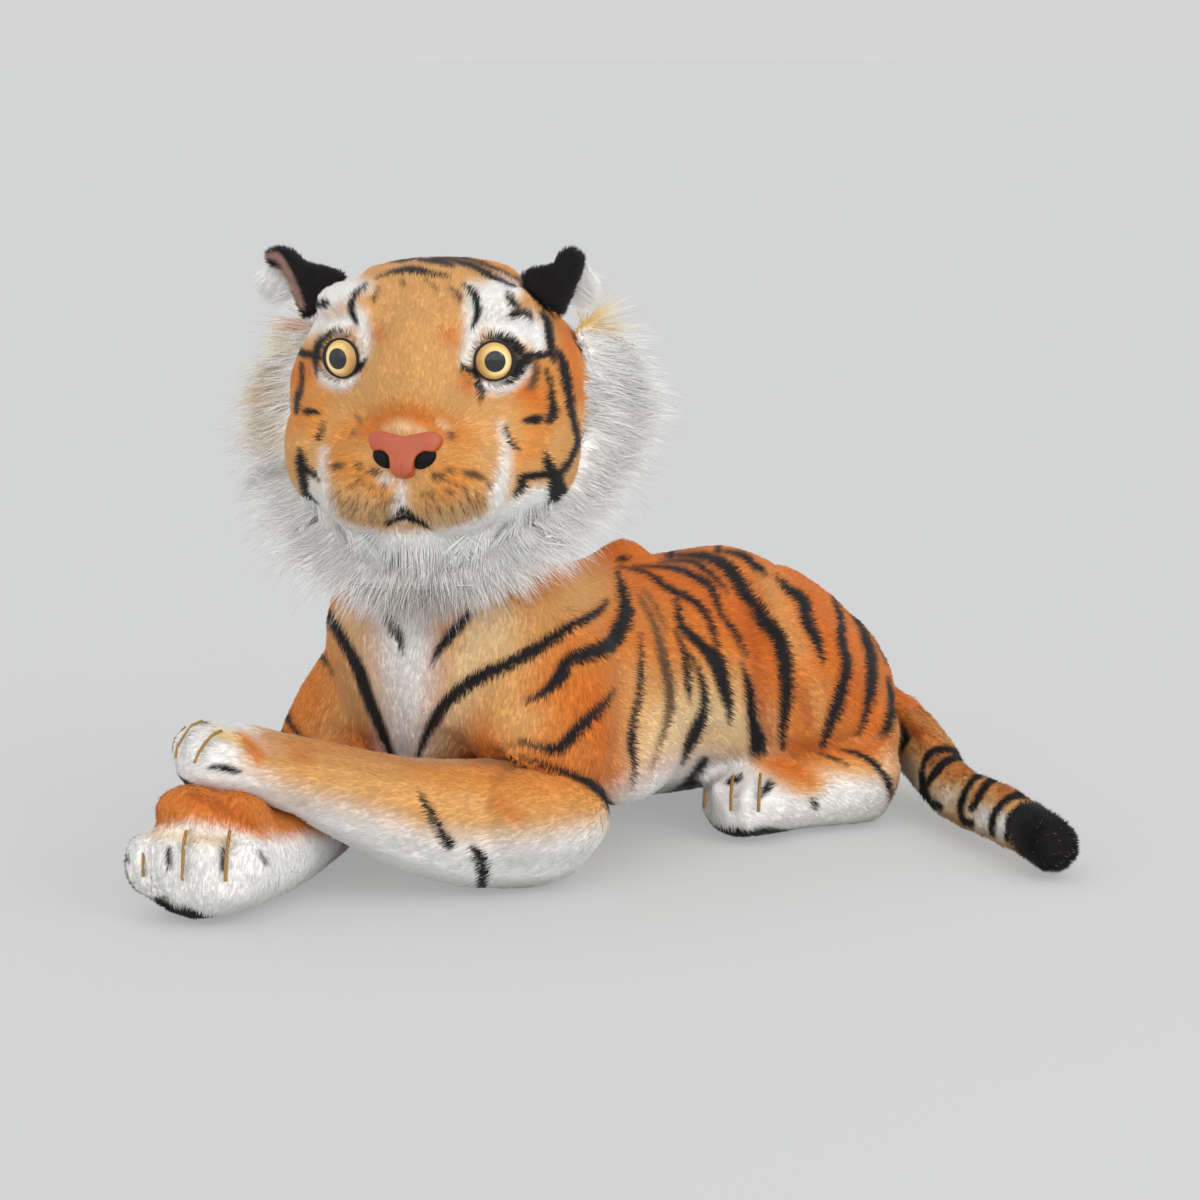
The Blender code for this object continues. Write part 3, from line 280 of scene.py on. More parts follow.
class Link:
    # a node's output, so that masks are written as formulas
    def __init__(self, look, socket):
        self.look = look
        self.socket = socket

    def __add__(self, other):
        return self.look.maths("ADD", self, other)

    def __sub__(self, other):
        return self.look.maths("SUBTRACT", self, other)

    def __rsub__(self, other):
        return self.look.maths("SUBTRACT", other, self)

    def __mul__(self, other):
        return self.look.maths("MULTIPLY", self, other)

    __radd__ = __add__
    __rmul__ = __mul__


class Look:
    # one material, written as values and links
    def __init__(self, name):
        self.material = bpy.data.materials.new(name)
        self.material.use_nodes = True
        self.tree = self.material.node_tree
        self.tree.nodes.clear()

    def node(self, kind, settings=None, output=0, **values):
        made = self.tree.nodes.new(kind)
        for name, value in (settings or {}).items():
            if name == "stops":
                ramp = made.color_ramp
                while len(ramp.elements) < len(value):
                    ramp.elements.new(0.5)
                for element, (place, colour) in zip(ramp.elements, value):
                    element.position = place
                    element.color = (*colour, 1) if len(colour) == 3 else colour
            else:
                setattr(made, name, value)
        for name, value in values.items():
            wanted = name.replace("_", " ")
            sockets = [s for s in made.inputs if s.enabled and (s.name == wanted or s.identifier == name)]
            if isinstance(value, Link):
                self.tree.links.new(value.socket, sockets[0])
            else:
                sockets[0].default_value = value
        return Link(self, made.outputs[output])

    def maths(self, operation, first, second=0.0, clamp=False):
        made = self.tree.nodes.new("ShaderNodeMath")
        made.operation = operation
        made.use_clamp = clamp
        for socket, value in zip(made.inputs, (first, second)):
            if isinstance(value, Link):
                self.tree.links.new(value.socket, socket)
            else:
                socket.default_value = value
        return Link(self, made.outputs[0])

    def mixed(self, factor, first, second, way="MIX"):
        made = self.tree.nodes.new("ShaderNodeMix")
        made.data_type = "RGBA"
        made.blend_type = way
        for socket, value in ((made.inputs[0], factor), (made.inputs[6], first), (made.inputs[7], second)):
            if isinstance(value, Link):
                self.tree.links.new(value.socket, socket)
            elif isinstance(value, tuple):
                socket.default_value = (*value, 1)
            else:
                socket.default_value = value
        return Link(self, made.outputs[2])

    def attribute(self, name, output=0):
        return self.node("ShaderNodeAttribute", {"attribute_name": name}, output=output)

    def place(self):
        return self.node("ShaderNodeTexCoord", output=3)

    def clouds(self, scale, detail=3.0, roughness=0.55, where=None):
        return self.node("ShaderNodeTexNoise", {}, Vector=where or self.place(), Scale=scale, Detail=detail,
                         Roughness=roughness)

    def bump(self, height, strength, distance):
        return self.node("ShaderNodeBump", Height=height, Strength=strength, Distance=distance)

    def surface(self, **values):
        shader = self.node("ShaderNodeBsdfPrincipled", **values)
        self.out(shader)
        return self.material

    def out(self, shader):
        made = self.tree.nodes.new("ShaderNodeOutputMaterial")
        self.tree.links.new(shader.socket, made.inputs[0])


def between(look, value, low, high):
    # 0 below low, 1 above high
    return look.node("ShaderNodeMapRange", {"interpolation_type": "SMOOTHSTEP"}, Value=value, From_Min=low,
                     From_Max=high)


pileLook = {
    "roughness": 0.78,
    "sheen": 0.05,
    "sheenRoughness": 0.5,
    "rootShade": 0.90,        # how much darker a hair is at its root: painted shade deep in the pile
    "patchScale": 26,
    "patchShade": 0.10,
}


def makePileLook():
    # dyed hairs with painted shade that darkens them towards the root, so they are paler at the tip, in soft
    # patches of crushed pile
    look = Look("dyedPileShadedRoots")
    colour = look.attribute("pile")
    along = look.attribute("along", output=2)
    patches = look.clouds(pileLook["patchScale"], detail=2.0)
    shade = pileLook["rootShade"] + along * (1 - pileLook["rootShade"])
    shade = shade * (1 - pileLook["patchShade"] + patches * (2 * pileLook["patchShade"]))
    shadeColour = look.node("ShaderNodeCombineColor", Red=shade, Green=shade, Blue=shade)
    dark = look.mixed(1.0, colour, shadeColour, "MULTIPLY")
    return look.surface(Base_Color=dark, Roughness=pileLook["roughness"] + patches * 0.12,
                        Sheen_Weight=pileLook["sheen"], Sheen_Roughness=pileLook["sheenRoughness"],
                        Specular_IOR_Level=0.25)


def makeBackingLook():
    # the woven ground under the pile: the dye shows through, a little darkened as painted shade under the
    # pile, with fine fibres
    look = Look("pileBacking")
    colour = look.attribute("pile")
    fibres = look.clouds(900, detail=2.0)
    # painted shade: the ground is multiplied darker than the dye
    dark = look.mixed(1.0, colour, (0.90, 0.87, 0.84), "MULTIPLY")
    shadedFibres = look.mixed(fibres * 0.5, dark, colour)
    return look.surface(Base_Color=shadedFibres, Roughness=0.82 + fibres * 0.15,
                        Normal=look.bump(fibres, 0.6, 0.0006), Specular_IOR_Level=0.2)


pileMaterial = makePileLook()
backingMaterial = makeBackingLook()

# ---------- dyes ----------

dyes = {
    "orange": (0.71, 0.225, 0.042),
    "amber": (0.73, 0.290, 0.062),
    "deep": (0.68, 0.165, 0.022),
    "rust": (0.48, 0.105, 0.018),
    "sand": (0.75, 0.400, 0.145),
    "cream": (0.85, 0.610, 0.340),
    "pale": (0.90, 0.770, 0.620),
    "white": (0.95, 0.938, 0.918),
    "grey": (0.60, 0.580, 0.560),
    "brown": (0.14, 0.072, 0.036),
    "black": (0.016, 0.014, 0.015),
    "yellow": (0.92, 0.640, 0.210),
    # ash is the grey of the painted shadow low in the ruff
    "ash": (0.36, 0.310, 0.280),
    "lining": (0.40, 0.245, 0.200),
}


def curved(points, steps=4):
    # a smooth line through points of the photograph: across, down, half width
    rows = np.array(points, float)
    if len(rows) < 3:
        return rows
    padded = np.vstack([2 * rows[0] - rows[1], rows, 2 * rows[-1] - rows[-2]])
    found = []
    for index in range(1, len(padded) - 2):
        a, b, c, d = padded[index - 1:index + 3]
        for step in range(steps):
            t = step / steps
            found.append(0.5 * (2 * b + (c - a) * t + (2 * a - 5 * b + 4 * c - d) * t ** 2
                                + (3 * b - a - 3 * c + d) * t ** 3))
    found.append(rows[-1])
    return np.array(found)


def ringed(points, steps=5):
    # the same kind of line, closed
    rows = [(*row[:2], 0) for row in points]
    line = curved([rows[-1]] + rows + rows[:2], steps)
    return line[steps:steps + len(rows) * steps, :2]


def strokeCover(where, points, softness):
    # how much of a brush stroke lies on each place
    line = curved(points)
    reach = line[:, 2].max() + softness
    low, high = line[:, :2].min(0) - reach, line[:, :2].max(0) + reach
    near = np.where(((where > low) & (where < high)).all(1))[0]
    cover = np.zeros(len(where))
    if len(near) == 0:
        return cover
    spot = where[near]
    best = np.full(len(near), -1e9)
    if len(line) == 1:
        best = line[0, 2] - np.hypot(*(spot - line[0, :2]).T)
    for start, end in zip(line, line[1:]):
        along = end[:2] - start[:2]
        share = np.clip((spot - start[:2]) @ along / max(along @ along, 1e-9), 0, 1)
        gap = np.hypot(*(spot - start[:2] - share[:, None] * along).T)
        best = np.maximum(best, start[2] + share * (end[2] - start[2]) - gap)
    cover[near] = np.clip(best / softness * 0.5 + 0.5, 0, 1)
    return cover


def painted(where, coat):
    # dye each place: the ground first, then each stroke over it
    colour = np.tile(np.array(dyes[coat["ground"]]), (len(where), 1))
    for dye, softness, strokes in coat["layers"]:
        for points in strokes:
            cover = strokeCover(where, points, softness)[:, None]
            cover = cover * cover * (3 - 2 * cover)
            colour += (np.array(dyes[dye]) - colour) * cover
    return colour


print("dyes and looks ready")

# ---------- hair ----------

def waver(places, size, seed):
    # a soft vector noise that repeats every run: neighbouring hairs lean alike
    draw = np.random.default_rng(seed)
    found = np.zeros((len(places), 3))
    for octave in range(4):
        ways = draw.normal(size=(3, 3)) * (1.0 + 0.6 * octave) * 2 * math.pi / size
        found += np.sin(places @ ways.T + draw.uniform(0, 6.28, 3)) / (1 + octave)
    return found / 2


def scattered(skin, perSquareMetre, seed, weigh=None):
    # places spread over a skin, with the skin's own normals there
    mesh = skin.data
    mesh.calc_loop_triangles()
    corners = np.empty(len(mesh.loop_triangles) * 3, np.int32)
    mesh.loop_triangles.foreach_get("vertices", corners)
    corners = corners.reshape(-1, 3)
    spots, ups = coordinates(skin), normals(skin)
    a, b, c = (spots[corners[:, k]] for k in range(3))
    area = np.linalg.norm(np.cross(b - a, c - a), axis=1) / 2
    if weigh is not None:
        area = area * weigh((a + b + c) / 3, ups[corners].mean(1))
    draw = np.random.default_rng(seed)
    picked = draw.choice(len(area), int(area.sum() * perSquareMetre), p=area / area.sum())
    first, second = draw.uniform(size=(2, len(picked)))
    over = first + second > 1
    first[over], second[over] = 1 - first[over], 1 - second[over]
    shares = np.stack([1 - first - second, first, second], 1)[:, :, None]
    places = (spots[corners[picked]] * shares).sum(1)
    lifted = (ups[corners[picked]] * shares).sum(1)
    return places, lifted / np.linalg.norm(lifted, axis=1, keepdims=True)


def unit(vectors):
    return vectors / np.maximum(np.linalg.norm(vectors, axis=-1, keepdims=True), 1e-9)


def combed(places, ups, flow, lift, stray, seed, clump=0.02):
    # hairs lie along the flow and rise from the skin by the lift
    flat = unit(flow - (flow * ups).sum(1, keepdims=True) * ups)
    draw = np.random.default_rng(seed)
    lean = waver(places, clump, seed) * stray + draw.normal(size=places.shape) * stray * 0.5
    lean -= np.minimum((lean * ups).sum(1, keepdims=True), 0) * ups
    return unit(flat * math.cos(lift) + ups * math.sin(lift) + lean)


def makeHair(name, hair):
    # tapering three-sided hairs in one mesh, with their dye, their length and an own map for the bake
    roots, ways, ups = hair["roots"], hair["ways"], hair["ups"]
    count, pieces = len(roots), hair.get("pieces", 1)
    length, width = hair["length"], hair["width"]
    droop = hair.get("droop", np.zeros((count, 3)))
    across = unit(np.cross(ways, ups + 1e-4))
    over = np.cross(ways, across)
    rows = pieces * 3 + 1
    spots = np.empty((count, rows, 3))
    along = np.empty((count, rows))
    for ring in range(pieces):
        share = ring / pieces
        centre = roots + ways * (length * share)[:, None] + droop * (length * share ** 2)[:, None]
        thick = width / 2 * (1 - 0.75 * share)
        for corner in range(3):
            angle = 2 * math.pi * corner / 3 - math.pi / 2
            side = across * math.cos(angle) + over * math.sin(angle)
            spots[:, ring * 3 + corner] = centre + side * thick[:, None]
        along[:, ring * 3:ring * 3 + 3] = share
    spots[:, -1] = roots + (ways + droop) * length[:, None]
    along[:, -1] = 1
    faces = []
    for ring in range(pieces - 1):
        for corner in range(3):
            here, ahead = ring * 3 + corner, ring * 3 + (corner + 1) % 3
            faces += [(here, ahead, ahead + 3), (here, ahead + 3, here + 3)]
    last = (pieces - 1) * 3
    faces += [(last + corner, last + (corner + 1) % 3, rows - 1) for corner in range(3)]
    faces = np.array(faces)
    mesh = bpy.data.meshes.new(name)
    mesh.vertices.add(count * rows)
    mesh.vertices.foreach_set("co", spots.ravel())
    corners = (faces[None] + (np.arange(count) * rows)[:, None, None]).ravel()
    mesh.loops.add(len(corners))
    mesh.loops.foreach_set("vertex_index", corners)
    mesh.polygons.add(len(corners) // 3)
    mesh.polygons.foreach_set("loop_start", np.arange(0, len(corners), 3))
    mesh.polygons.foreach_set("use_smooth", np.ones(len(corners) // 3, bool))
    mesh.update(calc_edges=True)
    root, tip = hair["dye"], hair.get("tipDye", hair["dye"])
    fade = np.clip((along - hair.get("tipFrom", 0.5)) / 0.25, 0, 1)[..., None]
    colour = np.ones((count, rows, 4))
    colour[..., :3] = root[:, None] * (1 - fade) + tip[:, None] * fade
    mesh.attributes.new("pile", "FLOAT_COLOR", "POINT").data.foreach_set("color", colour.ravel())
    mesh.attributes.new("along", "FLOAT", "POINT").data.foreach_set("value", along.ravel())
    order = np.empty(count)
    order[np.lexsort((root.sum(1), np.round(root[:, 0] / (root[:, 2] + 0.05), 0)))] = np.arange(count)
    spread = np.zeros(rows)
    spread[:-1] = np.tile([-0.4, 0.4, 0.1], pieces)
    places = np.stack([(order[:, None] + 0.5 + spread) / count, 0.02 + 0.96 * along], -1).reshape(-1, 2)
    mesh.uv_layers.new(name="OFBake").data.foreach_set("uv", places[corners].ravel())
    if pieces == 1:                                    # short pile is shaded like the skin that it covers
        shown = unit(ups * 0.8 + ways * 0.2)
        mesh.normals_split_custom_set_from_vertices(np.repeat(shown, rows, axis=0))
    thing = bpy.data.objects.new(name, mesh)
    bpy.context.scene.collection.objects.link(thing)
    mesh.materials.append(pileMaterial)
    return thing


pileSpread = {"length": (0.75, 1.2), "width": (0.8, 1.15), "tone": 0.07, "sunk": 0.0004}
pieceLimit = {"shortHairs": 62000, "bentShare": 5}      # both keep a piece under 200,000 triangles


def someHair(hair, chosen):
    return {key: value[chosen] if isinstance(value, np.ndarray) else value for key, value in hair.items()}


def hairPieces(name, hair, way=(0, 1, 0)):
    # a long coat is split into stretches, each light enough for one piece
    most = pieceLimit["shortHairs"] // (pieceLimit["bentShare"] if hair.get("pieces", 1) > 1 else 1)
    parts = max(1, math.ceil(len(hair["roots"]) / most))
    order = np.argsort(hair["roots"] @ np.array(way))
    made = []
    for number, chosen in enumerate(np.array_split(order, parts), 1):
        made.append(makeHair(f"{name}{number}" if parts > 1 else name, someHair(hair, chosen)))
    return made


def dyeSkin(skin, colour):
    shade = np.ones((len(colour), 4))
    shade[:, :3] = colour
    skin.data.attributes.new("pile", "FLOAT_COLOR", "POINT").data.foreach_set("color", shade.ravel())
    skin.data.materials.clear()
    skin.data.materials.append(backingMaterial)


def rideAll(things, body):
    for thing in things:
        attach(thing, body)


def nearestGap(places, names):
    # how far each place is from the nearest of some CAD pieces
    gap = np.full(len(places), 1.0)
    for name in names:
        shape = bmesh.new()
        shape.from_mesh(frame["nodes"][name].data)
        tree = BVHTree.FromBMesh(shape)
        shape.free()
        low, high = (np.array(corner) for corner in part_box(name))
        near = np.where(((places > low - 0.02) & (places < high + 0.02)).all(1))[0]
        for index in near:
            found = tree.find_nearest(Vector(places[index]))[3]
            gap[index] = min(gap[index], found)
    return gap


def pressIn(skin, names, depth, reach):
    # threads draw the skin in
    spots = coordinates(skin)
    gap = nearestGap(spots, names)
    setCoordinates(skin, spots - normals(skin) * (depth * np.exp(-(gap / reach) ** 2))[:, None])


def growPile(skin, name, body, coat, dye, flow, keep=None, seed=1):
    # short pile all over a skin
    places, ups = scattered(skin, coat["hairs"], seed)
    if keep is not None:
        kept = keep(places, ups)
        places, ups = places[kept], ups[kept]
    draw = np.random.default_rng(seed + 1)
    ways = combed(places, ups, flow(places), coat["lift"], coat["stray"], seed + 2, coat.get("clump", 0.02))
    spread = draw.uniform(*pileSpread["length"], len(places))
    tone = draw.normal(1.0, pileSpread["tone"], (len(places), 1))
    hair = {
        "roots": places - ups * pileSpread["sunk"], "ways": ways, "ups": ups,
        "length": coat["hairLength"] * spread,
        "width": coat["hairWidth"] * draw.uniform(*pileSpread["width"], len(places)),
        "dye": np.clip(dye(places, ups) * tone, 0, 1),
    }
    rideAll(hairPieces(name, hair, way=tuple(coat.get("splitWay", (0, 1, 0)))), body)


print("hair tools ready")

# ---------- body: torso, upper forelegs, right forearm and thighs in one skin ----------

bodyCoat = {
    "ground": "orange",
    "layers": [
        ("deep", 26, [
            [(640, 575, 14), (690, 585, 26), (735, 615, 26), (770, 660, 16)],
            [(790, 560, 12), (830, 640, 20), (868, 700, 22), (885, 730, 14)],
            [(612, 548, 14), (650, 545, 14)],
            [(590, 700, 20), (620, 750, 18)],
        ]),
        ("sand", 26, [
            [(640, 680, 16), (650, 720, 26), (690, 690, 24), (735, 680, 14)],
            # a painted highlight along the thigh's front edge
            [(768, 588, 6), (783, 620, 4), (797, 652, 3)],
            [(814, 690, 2), (816, 720, 2)],
            [(899, 700, 3), (900, 740, 6)],
            [(585, 590, 20), (530, 625, 20), (500, 690, 24), (520, 720, 22)],
            [(350, 640, 12), (350, 700, 18), (330, 730, 14)],
        ]),
        ("cream", 26, [
            [(640, 755, 14), (690, 725, 34), (735, 728, 30), (760, 740, 14)],
            [(505, 610, 10), (495, 640, 12)],
            [(480, 620, 20), (470, 650, 20), (455, 700, 18), (440, 740, 16)],
            [(345, 610, 8), (360, 650, 8), (372, 700, 6)],
        ]),
        ("rust", 16, [
            # the first line is painted shade in the crease at the thigh's front seam
            [(748, 600, 5), (752, 650, 7), (760, 700, 7), (768, 740, 5)],
            [(800, 690, 2), (806, 720, 3)],
            [(790, 745, 6), (840, 746, 4), (885, 742, 3)],
        ]),
        ("white", 22, [
            [(610, 814, 16), (650, 794, 22), (690, 780, 24), (730, 782, 22), (800, 800, 20)],
            [(400, 590, 24), (405, 640, 30), (405, 700, 27), (404, 760, 22), (404, 830, 30)],
        ]),
        ("black", 3.0, [
            [(322, 590, 3), (330, 612, 5), (345, 640, 6), (358, 665, 7), (368, 695, 6.5), (380, 725, 6),
             (391, 754, 4)],
            [(317, 595, 3), (314, 617, 4), (320, 640, 3.5), (332, 670, 1.5)],
            [(378, 590, 4), (387, 608, 6), (393, 622, 7), (400, 636, 5), (403, 650, 1.5)],
            [(470, 610, 4), (458, 625, 6), (448, 637, 6), (438, 650, 4), (432, 662, 1.5)],
            [(603, 600, 2), (598, 609, 4), (575, 622, 5), (540, 645, 7), (510, 662, 7), (475, 678, 7.5),
             (450, 698, 7), (432, 722, 6), (419, 752, 3)],
            [(614, 572, 2), (621, 595, 6), (622, 620, 9), (605, 645, 9), (570, 658, 7), (560, 675, 8),
             (545, 690, 5), (528, 699, 2.5)],
            [(613, 688, 1.5), (600, 705, 5), (580, 725, 7), (560, 746, 6.5), (540, 745, 4), (520, 738, 1.5)],
            [(291, 703, 2), (292, 722, 3.5), (302, 735, 2.5), (315, 744, 1.5)],
            [(520, 755, 1.2), (545, 763, 3), (575, 775, 4), (598, 790, 3.5), (608, 803, 3), (612, 814, 2)],
            [(638, 633, 1), (639, 660, 3), (638, 690, 3.5), (632, 720, 4), (630, 745, 5), (633, 765, 3),
             (630, 792, 1)],
            [(674, 630, 1.5), (684, 655, 4), (686, 680, 4), (688, 702, 1)],
            [(690, 655, 1.5), (700, 680, 3.5), (703, 705, 5), (696, 728, 7), (688, 745, 6), (681, 764, 1.5)],
            [(616, 567, 1), (645, 573, 3), (665, 588, 4), (690, 600, 4), (705, 615, 4), (714, 640, 3),
             (716, 652, 2)],
            [(674, 600, 3), (680, 625, 5), (700, 645, 6), (714, 660, 9), (721, 680, 8), (727, 705, 5),
             (728, 724, 1)],
            [(632, 566, 1), (670, 568, 3), (695, 578, 4.5), (710, 590, 4.5), (720, 615, 3), (735, 635, 3.5),
             (744, 656, 1.5)],
            [(655, 562, 1), (690, 563, 3), (710, 575, 3.5), (725, 592, 1.2)],
            [(662, 557, 1), (700, 557, 4.5), (725, 568, 7), (740, 588, 8), (746, 602, 4)],
            [(712, 552, 1), (740, 556, 4), (755, 568, 4.5), (764, 577, 1.5)],
            [(748, 598, 5), (762, 620, 8), (778, 640, 9), (784, 670, 8), (785, 695, 7), (782, 725, 5),
             (780, 748, 1.5)],
            [(774, 577, 2), (787, 590, 5), (800, 600, 7), (805, 620, 7), (815, 640, 5.5), (822, 663, 2)],
            [(828, 592, 1), (838, 615, 4), (840, 640, 5), (845, 665, 6), (840, 690, 7), (832, 715, 7),
             (821, 744, 3)],
            [(845, 603, 2), (858, 625, 4), (868, 650, 6), (870, 680, 6), (866, 705, 5), (860, 725, 3),
             (848, 741, 1)],
            [(886, 676, 2), (890, 700, 5), (888, 720, 6), (880, 738, 5), (868, 743, 1.5)],
            [(740, 663, 1.5), (748, 690, 5), (752, 720, 6), (757, 745, 9), (755, 768, 6)],
            [(703, 760, 5), (690, 780, 6), (670, 795, 5), (640, 808, 4), (616, 820, 3)],
            [(668, 553, 4), (668, 556, 4)],
            [(715, 548, 3), (716, 551, 3)],
            [(646, 545, 1.5), (656, 550, 3), (664, 552, 2)],
            [(618, 560, 4), (628, 558, 2)],
            [(270, 728, 3), (284, 731, 2)],
        ]),
        ("brown", 3.5, [
            [(636, 595, 1.5), (650, 620, 3), (660, 650, 5), (667, 680, 5.5), (668, 705, 5), (664, 725, 3.5),
             (655, 752, 1.5), (649, 768, 0.8)],
            [(640, 588, 0.8), (655, 610, 2), (666, 633, 0.8)],
            [(500, 746, 1), (525, 743, 2), (545, 746, 2)],
            [(862, 612, 1), (874, 635, 2.5), (885, 662, 2)],
        ]),
    ],
}
pawCoat = [
    ("white", 9, [
        [(120, 870, 30), (160, 868, 46), (205, 872, 50), (245, 872, 44), (280, 870, 34), (330, 862, 32),
         (370, 850, 26)],
    ]),
    ("orange", 7, [
        [(165, 806, 9), (195, 796, 18), (220, 806, 16), (250, 822, 10), (262, 832, 5)],
        [(150, 822, 6), (175, 812, 8)],
    ]),
    ("rust", 8, [[(195, 796, 4), (225, 808, 5), (250, 820, 4)]]),
    ("cream", 8, [
        [(150, 832, 3), (190, 836, 4), (230, 840, 4)],
    ]),
    ("black", 2.4, [
        [(169, 848, 3), (170, 864, 3.5)],
        [(222, 848, 3), (223, 868, 2.5)],
        [(259, 850, 1.5), (265, 860, 2.2)],
        [(124, 848, 2), (127, 858, 2)],
        [(150, 908, 2), (165, 917, 2.5), (182, 921, 2)],
        [(196, 924, 2), (222, 922, 2.5)],
    ]),
]
footCoat = {
    "ground": "white",
    "layers": [
        ("sand", 14, [[(760, 762, 10), (790, 774, 18), (812, 784, 14)],
                      [(770, 752, 12), (820, 758, 16), (870, 762, 18)],
                      [(893, 735, 10), (893, 780, 8)]]),
        ("orange", 14, [[(765, 758, 8), (788, 768, 13), (806, 778, 10)],
                        [(770, 750, 10), (815, 752, 12), (860, 750, 12), (886, 738, 12)]]),
        ("deep", 12, [[(775, 764, 5), (795, 770, 6)], [(790, 744, 8), (830, 744, 8), (870, 748, 6)]]),
        ("orange", 9, [[(775, 735, 12), (830, 732, 14), (865, 728, 14), (880, 720, 12)]]),
        ("white", 9, [[(712, 800, 22), (745, 806, 24), (775, 815, 18)],
                      [(800, 815, 10), (835, 800, 10), (870, 800, 14)]]),
        ("black", 2.4, [
            [(836, 748, 1), (860, 755, 3.5), (878, 769, 3.5), (888, 785, 4), (891, 802, 3)],
            [(815, 751, 1), (830, 757, 2), (846, 766, 1)],
            [(727, 783, 3), (736, 780, 5)],
            [(759, 796, 3), (767, 786, 5)],
            [(812, 799, 3), (813, 806, 3)],
            [(745, 838, 3), (760, 830, 4), (790, 833, 4), (812, 831, 3)],
        ]),
    ],
}
bodySkin = {
    "voxel": 0.0032,
    "smoothing": 14,
    "shrink": 0.0022,
    "hairs": 570000,
    "hairLength": 0.0047,
    "hairWidth": 0.00098,
    "lift": math.radians(17),
    "stray": 0.10,
}
rootShift = np.array([middleSide, aimPoint.y, 0.0])    # the body's own origin, on the floor
shoulder = {"side": 0.062, "ahead": -0.128, "rise": 0.118, "size": (0.074, 0.092, 0.110)}
softSeams = [
    # places behind the neck's middle line, the reach round them, and the rounds of smoothing
    ([(0.056, -0.037, 0.162), (0.078, -0.058, 0.135), (0.100, -0.080, 0.112), (0.064, -0.080, 0.168)], 0.042,
     70),
    ([(0.124, 0.138, 0.068), (0.128, 0.120, 0.056), (0.120, 0.150, 0.075)], 0.020, 40),
]
bodyWads = {
    # places behind the neck's middle line in metres, then the size across, along and up
    "both sides": [
        ((0.060, -0.052, 0.112), (0.062, 0.110, 0.092)),
        ((0.078, -0.055, 0.075), (0.056, 0.100, 0.080)),
        ((0.112, 0.134, 0.062), (0.050, 0.057, 0.066)),
    ],
    # places of the toes in the photograph, and their nearness in metres
    "toes": [
        ((144, 864, 0.202), (0.030, 0.026, 0.042)),
        ((166, 866, 0.214), (0.030, 0.026, 0.044)),
        ((206, 868, 0.222), (0.027, 0.027, 0.044)),
        ((250, 866, 0.212), (0.034, 0.034, 0.042)),
        ((192, 810, 0.192), (0.048, 0.048, 0.034)),
        ((232, 814, 0.186), (0.052, 0.050, 0.034)),
        ((717, 796, 0.017), (0.018, 0.018, 0.026)),
        ((746, 804, 0.032), (0.019, 0.019, 0.026)),
        ((775, 808, 0.029), (0.022, 0.022, 0.024)),
    ],
}
bodyPresses = [
    # place across, behind and up, the reach, then the move, in metres
    ((0.100, 0.128, 0.152), 0.040, (-0.005, -0.004, -0.011)),
    ((0.118, 0.146, 0.118), 0.034, (-0.008, -0.005, -0.003)),
    ((0.085, 0.165, 0.150), 0.034, (-0.002, -0.006, -0.006)),
    ((0.020, 0.125, 0.168), 0.042, (0.000, 0.000, 0.0055)),
    ((0.045, 0.108, 0.168), 0.030, (0.000, 0.000, 0.0065)),
    ((0.004, 0.050, 0.174), 0.024, (0.000, 0.000, -0.0020)),
    ((0.006, 0.022, 0.176), 0.020, (0.000, 0.000, 0.0085)),
    ((0.084, 0.186, 0.114), 0.034, (-0.005, -0.0065, -0.001)),
    ((0.062, 0.160, 0.136), 0.018, (0.000, 0.000, 0.004)),
    ((0.139, 0.141, 0.014), 0.022, (-0.005, -0.004, 0.000)),
    ((0.106, 0.096, 0.120), 0.012, (-0.002, 0.000, 0.000)),
    ((0.112, 0.100, 0.100), 0.012, (-0.002, 0.000, 0.000)),
    ((0.120, -0.140, 0.056), 0.024, (-0.007, 0.004, 0.000)),
    ((0.120, -0.112, 0.050), 0.022, (-0.007, 0.000, 0.004)),
    ((0.110, -0.164, 0.060), 0.022, (-0.012, 0.008, 0.000)),
]
oneSidedPresses = [
    # the far thigh stands lower than the near one, and the crossed forearm is slim behind its paw
    ((-0.055, 0.108, 0.170), 0.036, (0.000, 0.000, -0.009)),
    ((0.058, -0.276, 0.040), 0.028, (-0.013, 0.006, 0.000)),
    ((0.060, -0.262, 0.010), 0.024, (-0.010, 0.004, 0.004)),
    ((0.034, -0.296, 0.062), 0.020, (-0.002, 0.002, -0.004)),
]
bodyThreads = [f"{leg}_toe_stitch_{number}" for leg in ("right_fore", "left_hind", "right_hind")
               for number in (1, 2, 3)]
threadPress = {"depth": 0.0026, "reach": 0.0040, "bare": 0.0016}
bodyMasks = {
    # where the coats of the paws, the white belly and the black pads begin, and how softly
    "pawAhead": -0.205, "pawFade": 0.012, "pawRise": 0.095, "riseFade": 0.01,
    "bellyRise": 0.030, "bellyFade": 0.02, "footGap": 0.010, "footFade": 0.006,
    "padGap": 0.004, "padFade": 0.002,
}
hindFeet = ["left_hind_foot", "right_hind_foot"]
bodyPads = ["right_fore_paw_pad", "left_hind_paw_pad", "right_hind_paw_pad"]


def bodyPlace(side, behind, rise):
    return (rootShift[0] + side, rootShift[1] + behind, rise)


def mirrored(place):
    return (-place[0], place[1], place[2])


def towardsCamera(ups):
    return ups @ np.array(backWay)


def mirroredPlaces(places, ups):
    # the far flank carries the near flank's stripes
    far = (places[:, 0] < middleSide) & (towardsCamera(ups) < 0.05)
    found = places.copy()
    found[far, 0] = 2 * middleSide - found[far, 0]
    return found, far


def insideNode(places, name):
    # places that are under the surface of one CAD piece
    shape = bmesh.new()
    shape.from_mesh(frame["nodes"][name].data)
    tree = BVHTree.FromBMesh(shape)
    shape.free()
    low, high = (np.array(corner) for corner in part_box(name))
    inside = ((places > low) & (places < high)).all(1)
    for index in np.where(inside)[0]:
        spot, normal = tree.find_nearest(Vector(places[index]))[:2]
        inside[index] = (Vector(places[index]) - spot).dot(normal) < 0
    return inside


